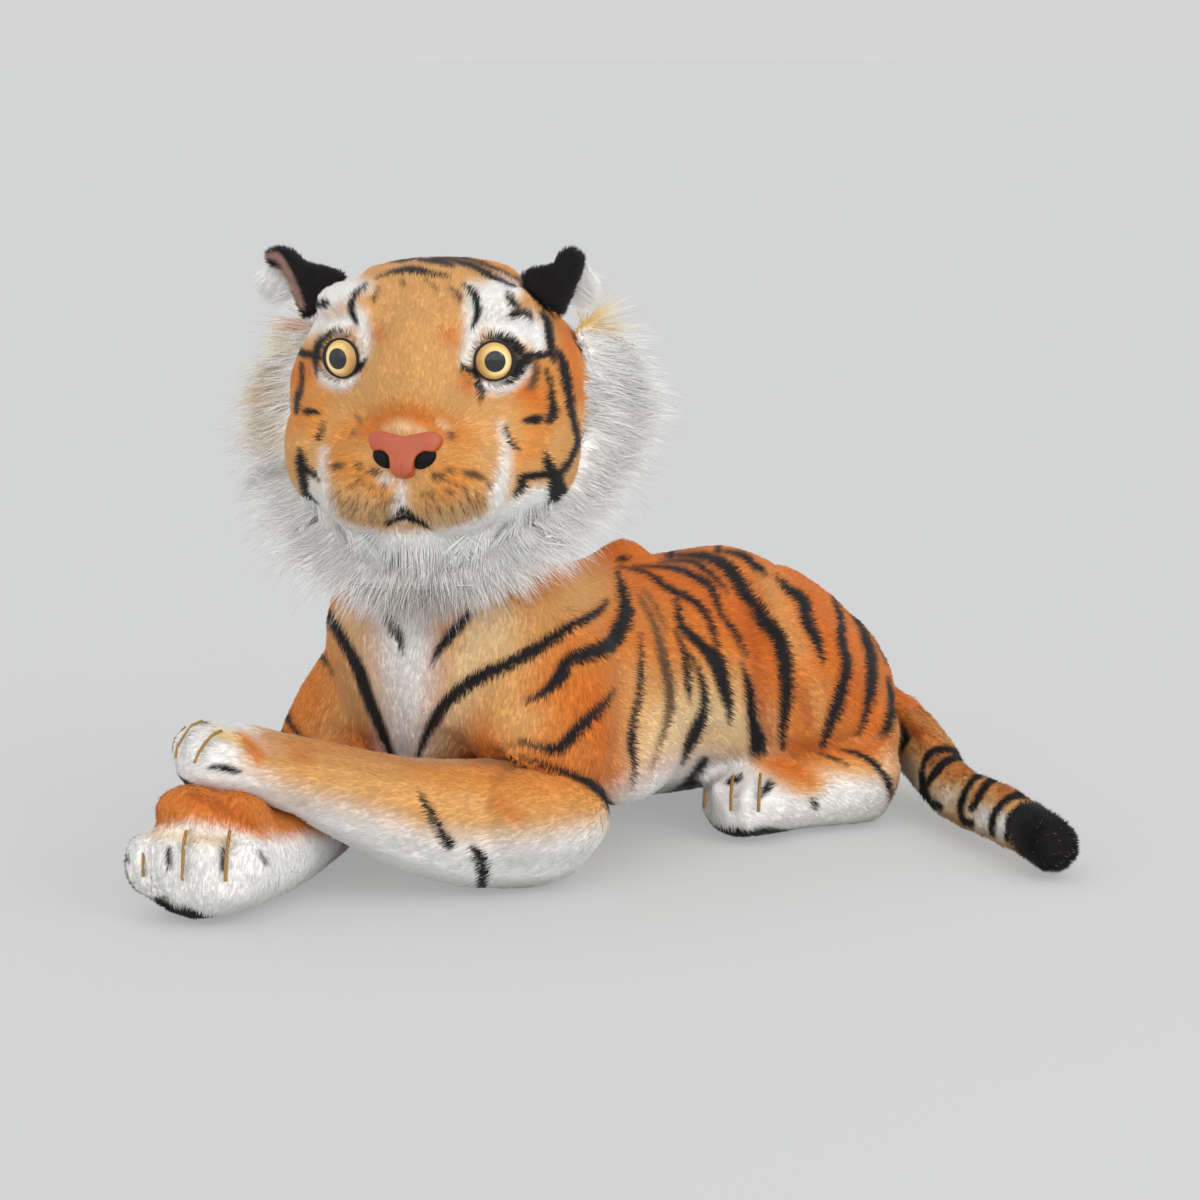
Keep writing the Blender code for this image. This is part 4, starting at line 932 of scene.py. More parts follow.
def padCover(places, ups, pads):
    # the black pads show only under the paws
    under = np.clip((-ups[:, 2] - 0.35) / 0.25, 0, 1)
    near = np.clip((bodyMasks["padGap"] - nearestGap(places, pads)) / bodyMasks["padFade"], 0, 1)
    return (near * under)[:, None]


def dyeBody(places, ups):
    flipped, far = mirroredPlaces(places, ups)
    jitter = waver(places, 0.004, 5)[:, :2] * 0.8
    colour = painted(toPixels(flipped) + jitter, bodyCoat)
    where = toPixels(places) + jitter
    paw = (np.clip((places[:, 1] - rootShift[1] - bodyMasks["pawAhead"]) / -bodyMasks["pawFade"], 0, 1)
           * np.clip((bodyMasks["pawRise"] - places[:, 2]) / bodyMasks["riseFade"], 0, 1))
    for dye, softness, strokes in pawCoat:
        for points in strokes:
            cover = (strokeCover(where, points, softness) * paw)[:, None]
            colour += (np.array(dyes[dye]) - colour) * cover
    under = (np.clip((bodyMasks["bellyRise"] - places[:, 2]) / bodyMasks["bellyFade"], 0, 1)
             * np.clip(-ups[:, 2] * 1.6 + 0.3, 0, 1))
    colour += (np.array(dyes["white"]) - colour) * under[:, None]
    near = nearestGap(places, hindFeet)
    onFoot = near < bodyMasks["footGap"]
    share = np.clip((bodyMasks["footGap"] - near[onFoot]) / bodyMasks["footFade"], 0, 1)[:, None]
    footColour = painted(toPixels(flipped[onFoot]) + jitter[onFoot], footCoat)
    colour[onFoot] += (footColour - colour[onFoot]) * share
    return colour + (np.array(dyes["black"]) - colour) * padCover(places, ups, bodyPads)


def bodyFlow(places):
    # pile is brushed from the neck to the tail, down the flanks and down each leg
    flow = np.zeros_like(places)
    flow[:, 1] = 1.0
    flow[:, 2] = -0.55
    ahead = np.clip((neckPivot.y + 0.05 - places[:, 1]) / 0.05, 0, 1)
    flow[:, 1] -= ahead * 1.3
    flow[:, 2] -= ahead * 0.6
    low = (places[:, 1] < neckPivot.y) & (places[:, 2] < 0.085) & (places[:, 0] < middleSide)
    flow[low] = np.array([0.35, -1.0, -0.2])
    return flow


bodyNodes = [
    "torso_cover", "torso_stuffing", "left_upper_arm_cover", "left_upper_arm_stuffing",
    "right_upper_arm_cover", "right_upper_arm_stuffing", "left_thigh_cover", "left_thigh_stuffing",
    "right_thigh_cover", "right_thigh_stuffing", "right_forearm_cover", "right_forearm_stuffing",
    "left_hind_foot", "right_hind_foot", "right_fore_paw_pad", "left_hind_paw_pad", "right_hind_paw_pad",
]
wads = [nodeCopy(name) for name in bodyNodes]
for sign in (-1, 1):
    middle = bodyPlace(sign * shoulder["side"], shoulder["ahead"], shoulder["rise"])
    wads.append(lump(middle, shoulder["size"]))
    for place, size in bodyWads["both sides"]:
        wads.append(lump(bodyPlace(sign * place[0], place[1], place[2]), size))
for place, size in bodyWads["toes"]:
    wads.append(lump(photoPlace(*place), size, segments=16))
tigerBody = fused("bodySkin", wads, bodySkin["voxel"], bodySkin["smoothing"], bodySkin["shrink"])
for turned in (tuple, mirrored):
    sculpted(tigerBody, [(bodyPlace(*turned(place)), reach, turned(way))
                         for place, reach, way in bodyPresses])
    for seam, reach, rounds in softSeams:
        softened(tigerBody, [bodyPlace(*turned(place)) for place in seam], reach, rounds)
sculpted(tigerBody, [(bodyPlace(*place), reach, way) for place, reach, way in oneSidedPresses])
pressIn(tigerBody, bodyThreads, threadPress["depth"], threadPress["reach"])
dyeSkin(tigerBody, dyeBody(coordinates(tigerBody), normals(tigerBody)))
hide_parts(*bodyNodes)
rideAll([tigerBody], "torso")
print("body skin made")


growPile(tigerBody, "bodyPile", "torso", bodySkin, dyeBody, bodyFlow,
         keep=lambda places, ups: (nearestGap(places, bodyThreads) > threadPress["bare"])
         & ~insideNode(places, "left_forearm_cover"), seed=11)
print("body pile grown")

# ---------- head ----------

faceCoat = {
    "ground": "sand",
    "layers": [
        ("amber", 14, [
            [(340, 268, 8), (400, 252, 12), (460, 252, 14), (520, 272, 14), (560, 320, 14), (574, 380, 10)],
            [(535, 380, 24), (545, 430, 24), (530, 458, 16)],
            [(300, 372, 18), (303, 430, 16), (318, 405, 14)],
            [(345, 440, 14), (372, 425, 14), (405, 412, 10), (440, 425, 12), (462, 440, 14)],
            [(345, 462, 16), (372, 492, 15), (392, 500, 8)],
            [(445, 470, 16), (465, 488, 16), (440, 500, 14)],
        ]),
        ("deep", 16, [
            [(375, 338, 5)],
            [(449, 338, 5)],
            [(368, 432, 4), (405, 418, 5), (442, 432, 5)],
            [(293, 380, 5), (308, 372, 6)],
            [(468, 385, 8)],
            [(515, 385, 8), (535, 400, 8)],
            [(566, 330, 5), (578, 400, 5)],
        ]),
        ("sand", 12, [
            [(340, 286, 5), (385, 268, 4), (430, 266, 4), (480, 276, 4), (520, 300, 4)],
            [(345, 490, 11), (385, 505, 10), (440, 509, 10), (475, 494, 11)],
            [(402, 426, 3), (402, 434, 3)],
            [(560, 430, 8), (545, 462, 8), (530, 470, 8)],
            [(300, 440, 8), (318, 452, 8)],
        ]),
        ("cream", 12, [
            [(340, 500, 3), (385, 512, 6), (440, 514, 6), (475, 503, 3)],
        ]),
        ("white", 9, [
            [(302, 326, 9), (314, 312, 13), (330, 298, 14), (350, 290, 11), (368, 288, 5)],
            [(304, 332, 8), (318, 328, 8), (345, 324, 9), (358, 318, 9), (364, 342, 6), (363, 358, 4)],
            [(514, 292, 8), (495, 292, 14), (490, 308, 18), (507, 325, 16), (532, 333, 14), (538, 345, 10)],
            [(470, 290, 6), (474, 318, 10), (472, 345, 7), (466, 362, 5)],
            [(322, 372, 3), (330, 380, 6), (345, 384, 6), (353, 378, 4)],
            [(483, 386, 6), (500, 386, 7), (515, 377, 7), (526, 366, 4)],
            [(498, 424, 1), (503, 445, 3), (502, 470, 6), (496, 498, 9)],
            [(326, 450, 2), (324, 480, 5), (330, 503, 8)],
            [(330, 520, 12), (352, 534, 12), (400, 545, 16), (450, 540, 17), (500, 520, 16), (535, 500, 14),
             (560, 500, 12)],
            [(310, 484, 7), (320, 505, 9)],
            [(300, 545, 34), (370, 585, 36), (450, 590, 36), (540, 560, 36), (600, 500, 26)],
            [(402, 484, 3), (400, 505, 6), (402, 512, 4)],
            [(384, 476, 3), (390, 478, 3)],
        ]),
        ("cream", 7, [
            [(388, 430, 2), (402, 428, 4), (420, 432, 2)],
            [(438, 424, 2), (446, 430, 2)],
        ]),
        ("black", 2.2, [
            [(345, 274, 1), (365, 266, 2), (385, 262, 2)],
            [(385, 262, 1.5), (402, 261, 3), (418, 258, 2)],
            [(420, 261, 2.5), (440, 263, 3.5), (452, 267, 2)],
            [(430, 258, 1), (450, 261, 2.5), (470, 267, 3.5), (490, 277, 4), (505, 284, 3), (513, 287, 1.5)],
            [(420, 254, 1.5), (445, 256, 2), (470, 261, 2), (495, 270, 2), (520, 282, 1.5)],
            [(377, 279, 1), (392, 274, 2.5), (413, 271, 4.5), (430, 275, 2.5), (450, 279, 1.5)],
            [(525, 290, 2), (537, 300, 3), (545, 310, 3)],
            [(369, 286, 2), (357, 296, 3.5), (352, 309, 4), (356, 322, 3), (358, 327, 1.5)],
            [(327, 305, 4), (315, 312, 4.5), (309, 325, 2)],
            [(462, 286, 2), (472, 297, 4), (477, 308, 4), (475, 322, 3.5), (472, 331, 1.5)],
            [(506, 294, 2), (512, 305, 4.5), (516, 309, 3)],
            [(510, 317, 3.5), (522, 315, 4), (531, 323, 2.5)],
            [(541, 316, 3), (547, 325, 5), (549, 345, 5), (552, 362, 3)],
            [(300, 355, 4), (312, 357, 4.5), (322, 358, 4)],
            [(317, 362, 3), (320, 348, 5), (328, 338, 4), (340, 334, 2.5), (352, 340, 1), (359, 354, 1)],
            [(321, 366, 1), (327, 374, 1), (338, 378, 1), (350, 374, 3), (358, 367, 5), (364, 363, 3)],
            [(474, 366, 1.5), (476, 352, 1.5), (483, 342, 2), (496, 338, 3), (510, 343, 5), (518, 352, 6)],
            [(515, 372, 6), (522, 362, 7), (535, 357, 5), (552, 356, 3)],
            [(476, 370, 4), (478, 378, 4), (479, 390, 4), (480, 403, 1.5)],
            [(478, 371, 4), (466, 370, 4), (461, 374, 1.5)],
            [(480, 378, 1), (495, 383, 1), (508, 380, 3), (516, 371, 5)],
            [(544, 371, 2), (549, 385, 3), (550, 398, 4), (551, 411, 6), (547, 421, 4)],
            [(522, 421, 2), (533, 420, 5.5), (538, 418, 3.5)],
            [(556, 350, 2), (562, 368, 6), (568, 400, 5), (573, 425, 4), (576, 442, 4), (568, 460, 4),
             (558, 474, 5)],
            [(502, 428, 2), (510, 443, 3), (515, 449, 2)],
            [(514, 494, 3), (521, 485, 5), (520, 477, 4), (535, 475, 4), (550, 473, 4), (556, 478, 4)],
            [(543, 451, 1), (546, 462, 5), (551, 475, 6), (556, 490, 10), (552, 503, 8)],
            [(303, 366, 2.5), (303, 385, 2.5), (299, 400, 4), (299, 413, 3)],
            [(289, 368, 1.5), (286, 395, 1.5), (285, 420, 1)],
            [(317, 364, 3), (319, 379, 1.5)],
            [(309, 412, 4), (319, 413, 3)],
            [(326, 423, 1.5), (321, 438, 3)],
            [(302, 449, 2), (303, 462, 6), (305, 480, 5), (308, 495, 4), (316, 503, 3.5)],
            [(302, 464, 3), (312, 471, 3.5), (321, 477, 2)],
            [(388, 515, 1), (396, 513, 2), (403, 509, 4), (412, 515, 3.5), (424, 520, 2)],
        ]),
        ("brown", 3.0, [
            [(380, 291, 1.5), (374, 302, 2.5)],
            [(450, 290, 1.5), (459, 302, 2.5)],
            [(401, 284, 2), (403, 286, 2)],
            [(424, 281, 1), (436, 290, 1.5)],
            [(532, 362, 3), (534, 375, 5), (529, 389, 3)],
            [(338, 465, 4), (344, 465, 3)],
            [(361, 464, 3), (363, 468, 2)],
            [(374, 470, 4), (380, 471, 3)],
            [(360, 477, 2.5), (362, 480, 2)],
            [(355, 485, 2), (357, 487, 1)],
            [(372, 486, 2), (374, 487, 2)],
            [(385, 483, 2), (387, 484, 1)],
            [(433, 475, 3.5), (442, 475, 3)],
            [(448, 469, 3), (450, 471, 2)],
            [(464, 472, 3), (473, 474, 4), (481, 476, 2)],
            [(487, 482, 2.5), (488, 486, 1)],
            [(447, 432, 2), (449, 437, 3)],
            [(360, 419, 2), (361, 423, 1)],
            [(356, 432, 1.5), (358, 434, 1)],
            [(425, 490, 1.5), (432, 495, 1.5)],
            [(445, 488, 1.5), (450, 492, 1.5)],
            [(462, 486, 1.5), (465, 492, 1.5)],
            [(400, 497, 1), (380, 500, 1)],
        ]),
        ("brown", 1.4, [[(across, down, 1.6)] for across, down in (
            (345, 478), (352, 485), (360, 493), (368, 500), (354, 498), (383, 491), (346, 500), (373, 508),
            (388, 502), (358, 506), (365, 484), (376, 495), (340, 490), (393, 494), (425, 500), (433, 491),
            (441, 496), (452, 491), (458, 500), (466, 496), (475, 491), (450, 506), (462, 508), (473, 504),
            (437, 506), (482, 498), (454, 483), (436, 482), (447, 480), (421, 492))]),
    ],
}
napeCoat = {                       # side and wrap over the head, in millimetres
    "ground": "orange",
    "layers": [
        ("deep", 26, [[(0, 190, 10), (0, 240, 16)], [(-60, 200, 8), (-62, 240, 10)],
                      [(60, 200, 8), (62, 240, 10)]]),
        ("black", 2.4, [
            [(-58, 150, 1), (-30, 160, 4), (-4, 163, 3)],
            [(6, 164, 3), (32, 160, 4), (58, 150, 1)],
            [(-70, 172, 1), (-48, 182, 4), (-16, 187, 5), (0, 188, 2)],
            [(10, 189, 3), (40, 184, 5), (72, 172, 1)],
            [(-66, 205, 2), (-40, 211, 5), (-10, 212, 2)],
            [(8, 214, 2), (38, 211, 5), (68, 203, 2)],
            [(-52, 236, 2), (-26, 240, 5), (0, 241, 2)],
            [(14, 241, 3), (36, 239, 4), (54, 234, 2)],
            [(-30, 264, 2), (4, 266, 4), (34, 263, 2)],
        ]),
    ],
}
headSkin = {
    "voxel": 0.0024,
    "smoothing": 22,
    "shrink": 0.0014,
    "hairs": 1150000,
    "hairLength": 0.0044,
    "hairWidth": 0.00074,
    "lift": math.radians(16),
    "stray": 0.12,
    "clump": 0.015,
    "splitWay": faceWay,
    "nosePlace": (0.0, 0.112, 0.066),
    "wrapHeight": 0.090,
    "wads": [
        # side, front, up, then the size across, out and up
        (0.000, 0.084, 0.100, 0.064, 0.066, 0.096),
        (0.026, 0.098, 0.046, 0.064, 0.062, 0.060),
        (-0.026, 0.098, 0.046, 0.064, 0.062, 0.060),
        (0.042, 0.062, 0.146, 0.056, 0.050, 0.032),
        (-0.042, 0.062, 0.146, 0.056, 0.050, 0.032),
        (0.058, 0.046, 0.062, 0.066, 0.092, 0.086),
        (-0.058, 0.046, 0.062, 0.066, 0.092, 0.086),
        (0.044, 0.072, 0.052, 0.054, 0.060, 0.070),
        (-0.044, 0.072, 0.052, 0.054, 0.060, 0.070),
        (0.000, 0.074, 0.018, 0.100, 0.066, 0.050),
    ],
    "crownNarrow": 0.17,         # how far the skull's upper sides draw in
    "crownLift": 0.003,
}
eyeNodes = {"left": "left_eye_dome", "right": "right_eye_dome"}
socket = {"inner": 0.0126, "outer": 0.0185, "depth": 0.0006, "hairGap": 0.0117, "swirl": 0.018}
eyeDrop = 0.0015                   # the eyes look out a little below the middle of their rims


def headPlace(side, front, up):
    return neckPivot + sideWay * side + faceWay * front + upWay * up


def headMeasures(places):
    # side, front and up in the head's own frame
    offset = places - np.array(neckPivot)
    return np.stack([offset @ np.array(sideWay), offset @ np.array(faceWay), offset @ np.array(upWay)], 1)


def headTurn():
    return Matrix((sideWay, faceWay, upWay)).transposed().to_euler()


def headLump(place, size, segments=24):
    return lump(headPlace(*place), size, turn=headTurn(), segments=segments)


def eyeFrame(name):
    # the middle of an eye's rim and the way it looks
    spots = coordinates(frame["nodes"][name])
    middle = spots.mean(0)
    way = np.linalg.svd(spots - middle, full_matrices=False)[2][2]
    way = way * np.sign(way @ np.array(faceWay))
    rim = middle + way * ((spots - middle) @ way).min()
    return rim, way


eyes = {side: eyeFrame(name) for side, name in eyeNodes.items()}


def dyeHead(places, ups):
    jitter = waver(places, 0.003, 7)[:, :2] * 0.5
    front = painted(toPixels(places) + jitter, faceCoat)
    measures = headMeasures(places)
    wrap = np.arctan2(measures[:, 2] - headSkin["wrapHeight"], measures[:, 1]) * 90
    wrap = np.where(wrap < -90, wrap + 2 * math.pi * 90, wrap)
    nape = painted(np.stack([measures[:, 0] * 1000, wrap], 1), napeCoat)
    share = np.clip(towardsCamera(ups) / 0.14 + 0.4, 0, 1)[:, None]
    return nape + (front - nape) * share


def headFlow(places):
    measures = headMeasures(places)
    measures -= np.array(headSkin["nosePlace"])
    measures[:, 1] *= 0.4
    measures = unit(measures)
    measures[:, 2] -= np.clip(-measures[:, 2], 0, 1) * 0.6
    flow = (measures[:, :1] * np.array(sideWay) + measures[:, 1:2] * np.array(faceWay)
            + measures[:, 2:] * np.array(upWay))
    for rim, way in eyes.values():
        offset = places - rim
        gap = np.linalg.norm(offset - (offset @ way)[:, None] * way, axis=1)
        flow += unit(offset) * (np.exp(-(gap / socket["swirl"]) ** 4) * 3)[:, None]
    return flow


headNodes = ["head_cover", "head_stuffing", "muzzle_cover", "muzzle_stuffing", "chin"]
wads = [nodeCopy(name) for name in headNodes]
wads += [headLump(row[:3], row[3:]) for row in headSkin["wads"]]
tigerHead = fused("headSkin", wads, headSkin["voxel"], headSkin["smoothing"], headSkin["shrink"])


def shapeCrown(skin):
    # the skull is narrower behind its brows
    spots = coordinates(skin)
    measures = headMeasures(spots)
    rise = np.clip((measures[:, 2] - 0.095) / 0.05, 0, 1)
    behind = np.clip((0.065 - measures[:, 1]) / 0.06, 0, 1)
    share = rise * rise * (3 - 2 * rise) * (0.25 + 0.75 * behind)
    spots -= (measures[:, 0] * headSkin["crownNarrow"] * share)[:, None] * np.array(sideWay)
    spots += (headSkin["crownLift"] * rise)[:, None] * np.array(upWay)
    setCoordinates(skin, spots)


def openSockets(skin):
    # the eye sits in a round socket whose floor is just behind its rim
    spots = coordinates(skin)
    for rim, way in eyes.values():
        offset = spots - rim
        out = offset @ way
        gap = np.linalg.norm(offset - out[:, None] * way, axis=1)
        share = np.clip((socket["outer"] - gap) / (socket["outer"] - socket["inner"]), 0, 1)
        share = share * share * (3 - 2 * share) * (out > -0.02)
        wanted = -socket["depth"]
        spots += ((wanted - out) * share)[:, None] * way
    setCoordinates(skin, spots)


shapeCrown(tigerHead)
openSockets(tigerHead)
dyeSkin(tigerHead, dyeHead(coordinates(tigerHead), normals(tigerHead)))
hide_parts(*headNodes)
rideAll([tigerHead], "head")


def keepHead(places, ups):
    kept = np.ones(len(places), bool)
    for rim, way in eyes.values():
        offset = places - rim + np.array(upWay) * eyeDrop
        gap = np.linalg.norm(offset - (offset @ way)[:, None] * way, axis=1)
        kept &= (gap > socket["hairGap"]) | (offset @ way < -0.02)
    return kept & (nearestGap(places, ["nose"]) > 0.0004)


growPile(tigerHead, "headPile", "head", headSkin, dyeHead, headFlow, keep=keepHead, seed=21)
print("head grown")

# ---------- left foreleg, which lifts at the elbow ----------

legCoat = {
    "ground": "white",
    "layers": [
        ("sand", 22, [
            [(258, 758, 12), (300, 766, 26), (350, 775, 30), (400, 788, 32), (450, 796, 38), (520, 798, 38),
             (585, 790, 36)],
        ]),
        ("amber", 20, [
            [(270, 738, 10), (300, 742, 14), (345, 749, 13), (390, 758, 11), (430, 770, 14), (520, 782, 22),
             (590, 782, 22)],
        ]),
        ("sand", 12, [[(330, 770, 4), (352, 774, 4)], [(470, 800, 8), (490, 815, 6)],
                      [(410, 800, 5), (420, 815, 5)]]),
        ("orange", 14, [
            [(480, 765, 3), (540, 772, 8), (590, 775, 8)],
            [(298, 752, 3), (310, 758, 3)],
            [(500, 805, 5), (520, 815, 5)],
        ]),
        ("yellow", 8, [[(220, 734, 4), (234, 738, 5), (246, 742, 5)]]),
        ("orange", 7, [[(243, 736, 3), (252, 746, 7), (262, 758, 6)]]),
        ("white", 14, [
            [(400, 862, 14), (470, 872, 18), (540, 868, 18), (600, 850, 16)],
            [(250, 812, 12), (300, 835, 12), (350, 850, 12)],
        ]),
        ("black", 2.6, [
            [(421, 792, 1.5), (430, 808, 4), (440, 825, 4), (451, 844, 6)],
            [(474, 848, 4), (482, 856, 6), (485, 866, 6), (487, 884, 5)],
            [(443, 757, 1), (470, 753, 2.5), (495, 755, 2.5), (520, 762, 1.5)],
            [(520, 755, 1.5), (545, 763, 3.5), (575, 775, 5), (598, 790, 4.5), (608, 803, 3.5),
             (612, 814, 2)],
            [(213, 766, 2), (228, 768, 4), (242, 771, 2)],
            [(191, 725, 2), (200, 722, 2.5), (213, 722, 2)],
            [(189, 783, 2), (215, 798, 2.5), (240, 812, 2.5), (262, 828, 2)],
        ]),
    ],
}
legSkin = {
    "voxel": 0.0026,
    "smoothing": 10,
    "shrink": 0.0022,
    "hairs": 700000,
    "hairLength": 0.0048,
    "hairWidth": 0.00090,
    "lift": math.radians(17),
    "stray": 0.11,
    "toes": ("left_fore_toe_stitch_1", "left_fore_toe_stitch_2", "left_fore_toe_stitch_3"),
    "nodes": ["left_forearm_cover", "left_forearm_stuffing", "left_fore_paw_pad"],
    "wads": [((212, 752, 0.176), (0.034, 0.030, 0.034)), ((232, 768, 0.180), (0.034, 0.030, 0.034))],
    "elbow": [
        ((0.098, -0.133, 0.046), (0.062, 0.078, 0.066)),
        ((0.098, -0.160, 0.050), (0.054, 0.060, 0.062)),
    ],
    "toeDepth": 0.0028,
    "toeReach": 0.0042,
    "toeLump": {"size": 0.030, "inward": 0.0115, "pawMiddle": (226, 764, 0.166)},
    "presses": [
        ((0.006, -0.268, 0.110), 0.030, (0.000, 0.000, -0.014)),
        ((0.034, -0.236, 0.104), 0.028, (0.000, 0.000, -0.008)),
        ((0.056, -0.210, 0.096), 0.026, (0.000, 0.000, -0.004)),
    ],
}


def dyeLeg(places, ups):
    colour = painted(toPixels(places) + waver(places, 0.004, 5)[:, :2] * 0.8, legCoat)
    return colour + (np.array(dyes["black"]) - colour) * padCover(places, ups, ["left_fore_paw_pad"])


def legFlow(places):
    return np.tile([-0.62, -0.75, -0.22], (len(places), 1))


wads = [nodeCopy(name) for name in legSkin["nodes"]]
wads += [lump(photoPlace(*place), size, segments=16) for place, size in legSkin["wads"]]
wads += [lump(bodyPlace(*place), size) for place, size in legSkin["elbow"]]
for name in legSkin["toes"]:
    seam = Vector(coordinates(frame["nodes"][name]).mean(0))
    inward = (photoPlace(*legSkin["toeLump"]["pawMiddle"]) - seam).normalized() * legSkin["toeLump"]["inward"]
    wads.append(lump(seam + inward, (legSkin["toeLump"]["size"],) * 3, segments=16))
foreleg = fused("forelegSkin", wads, legSkin["voxel"], legSkin["smoothing"], legSkin["shrink"])
sculpted(foreleg, [(bodyPlace(*place), reach, way) for place, reach, way in legSkin["presses"]])
pressIn(foreleg, legSkin["toes"], legSkin["toeDepth"], legSkin["toeReach"])
dyeSkin(foreleg, dyeLeg(coordinates(foreleg), normals(foreleg)))
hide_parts(*legSkin["nodes"])
rideAll([foreleg], "left_foreleg")
growPile(foreleg, "forelegPile", "left_foreleg", legSkin, dyeLeg, legFlow,
         keep=lambda places, ups: nearestGap(places, legSkin["toes"]) > threadPress["bare"], seed=31)
print("foreleg grown")

# ---------- tail ----------

tailCoat = {
    "ground": "sand",
    "layers": [
        ("orange", 14, [[(880, 705, 20), (905, 715, 18), (930, 735, 14), (955, 752, 10), (990, 772, 6),
                         (1015, 786, 5)]]),
        ("sand", 10, [[(918, 710, 5), (933, 720, 7), (945, 735, 5)]]),
        ("deep", 10, [[(885, 690, 8), (905, 700, 4), (925, 712, 3), (945, 728, 3)]]),
        ("cream", 12, [[(905, 770, 12), (925, 790, 11), (950, 800, 12)],
                       [(960, 800, 8), (990, 815, 10), (1010, 830, 8)]]),
        ("pale", 10, [[(940, 800, 7), (950, 795, 6)], [(975, 815, 8), (1000, 830, 8)],
                      [(905, 765, 8), (912, 785, 8)]]),
        ("orange", 8, [[(950, 772, 6), (975, 768, 6)], [(1000, 792, 4), (1018, 788, 4)]]),
        ("rust", 6, [[(908, 728, 4), (918, 732, 4)], [(973, 800, 3), (985, 786, 3)],
                     [(932, 762, 2), (944, 756, 2)]]),
        ("white", 7, [[(982, 822, 6), (984, 812, 5)], [(1001, 830, 6), (1003, 816, 4)],
                      [(1014, 830, 5), (1024, 817, 3), (1046, 812, 3)]]),
        ("black", 2.0, [
            [(901, 720, 1), (904, 730, 3), (906, 738, 4.5), (902, 747, 2)],
            [(956, 751, 3.5), (945, 748, 4), (935, 750, 4.5), (928, 755, 4), (924, 762, 3), (922, 775, 4),
             (924, 790, 4.5),
             (930, 800, 4), (940, 806, 3)],
            [(968, 761, 2), (955, 757, 4), (945, 762, 4.5), (938, 769, 5), (931, 778, 4), (927, 785, 2)],
            [(997, 774, 3), (985, 771, 4), (975, 777, 4), (968, 786, 3.5), (963, 796, 4), (960, 808, 4),
             (962, 818, 4),
             (970, 822, 4)],
            [(1009, 782, 3), (998, 777, 4), (988, 782, 4), (982, 790, 4), (976, 800, 4), (971, 808, 4)],
            [(1032, 795, 4), (1020, 794, 5), (1010, 797, 4), (1002, 802, 4), (996, 810, 4), (992, 820, 4),
             (991, 832, 3)],
            [(1040, 808, 3.5), (1028, 808, 4.5), (1018, 810, 4.5), (1010, 816, 4), (1008, 825, 4),
             (1006, 838, 3)],
        ]),
    ],
}
tailSkin = {
    "voxel": 0.0022,
    "smoothing": 10,
    "shrink": 0.0020,
    "hairs": 640000,
    "hairLength": 0.0066,
    "hairWidth": 0.0009,
    "lift": math.radians(20),
    "stray": 0.16,
    "tuftHairs": 1500000,
    "tuftLength": 0.0046,
    "tuftWidth": 0.0008,
    "bendReach": 0.020,
    "outerFlow": (0.87, -0.49, 0.0),
    "tipStart": 0.178,          # the black tuft begins this far across
    "tipFade": 0.004,
    "tipNarrow": 0.13,
    "flecks": {"share": 0.10, "reach": 0.012, "colour": (0.30, 0.19, 0.20)},
    "nodes": ["tail_base_cover", "tail_base_stuffing", "tail_outer_cover", "tail_outer_stuffing", "tail_tip"],
    "presses": [
        ((0.190, 0.140, 0.034), 0.045, (0.000, 0.000, 0.008)),
        ((0.110, 0.185, 0.060), 0.030, (0.004, 0.000, 0.002)),
        ((0.215, 0.132, 0.030), 0.030, (0.000, 0.000, 0.004)),
        ((0.250, 0.112, 0.030), 0.034, (0.000, 0.000, 0.009)),
        ((0.290, 0.098, 0.020), 0.030, (0.000, 0.000, 0.003)),
    ],
}
tailBend = Vector(joints["tail_bend"]["pos_m"])


def dyeTail(places, ups):
    colour = painted(toPixels(places) + waver(places, 0.004, 5)[:, :2] * 0.8, tailCoat)
    tip = np.clip((places[:, 0] - tailSkin["tipStart"]) / tailSkin["tipFade"] + 1, 0, 1)[:, None]
    return colour + (np.array(dyes["black"]) - colour) * tip


def dyeTuft(places, ups):
    colour = np.tile(np.array(dyes["black"]), (len(places), 1))
    draw = np.random.default_rng(44)
    middle = places[places[:, 0] > places[:, 0].max() - 0.012].mean(0)
    gap = np.linalg.norm(places - middle, axis=1)
    look = tailSkin["flecks"]
    flecks = draw.uniform(size=len(places)) < look["share"] * np.exp(-(gap / look["reach"]) ** 2)
    colour[flecks] = look["colour"]
    return colour


def tailFlow(places):
    base = places[:, 0] < tailBend.x
    flow = np.tile(np.array(tailSkin["outerFlow"]), (len(places), 1))
    flow[base & (places[:, 0] < 0.0)] = (0.98, 0.10, -0.15)
    flow[base & (places[:, 0] >= 0.0)] = (0.80, -0.55, -0.25)
    return flow


def bendTail(things):
    for thing in things:
        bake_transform(thing)


def narrowTip(skin):
    spots = coordinates(skin)
    share = np.clip((spots[:, 0] - tailSkin["tipStart"]) / 0.02 + 1, 0, 1)[:, None]
    middle = spots[share[:, 0] >= 1].mean(0)
    setCoordinates(skin, spots + (middle - spots) * share * tailSkin["tipNarrow"])


wads = [nodeCopy(name) for name in tailSkin["nodes"]]
tail = fused("tailSkin", wads, tailSkin["voxel"], tailSkin["smoothing"], tailSkin["shrink"])
sculpted(tail, [(bodyPlace(*place), reach, way) for place, reach, way in tailSkin["presses"]])
narrowTip(tail)
dyeSkin(tail, dyeTail(coordinates(tail), normals(tail)))
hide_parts(*tailSkin["nodes"])
bendTail([tail])


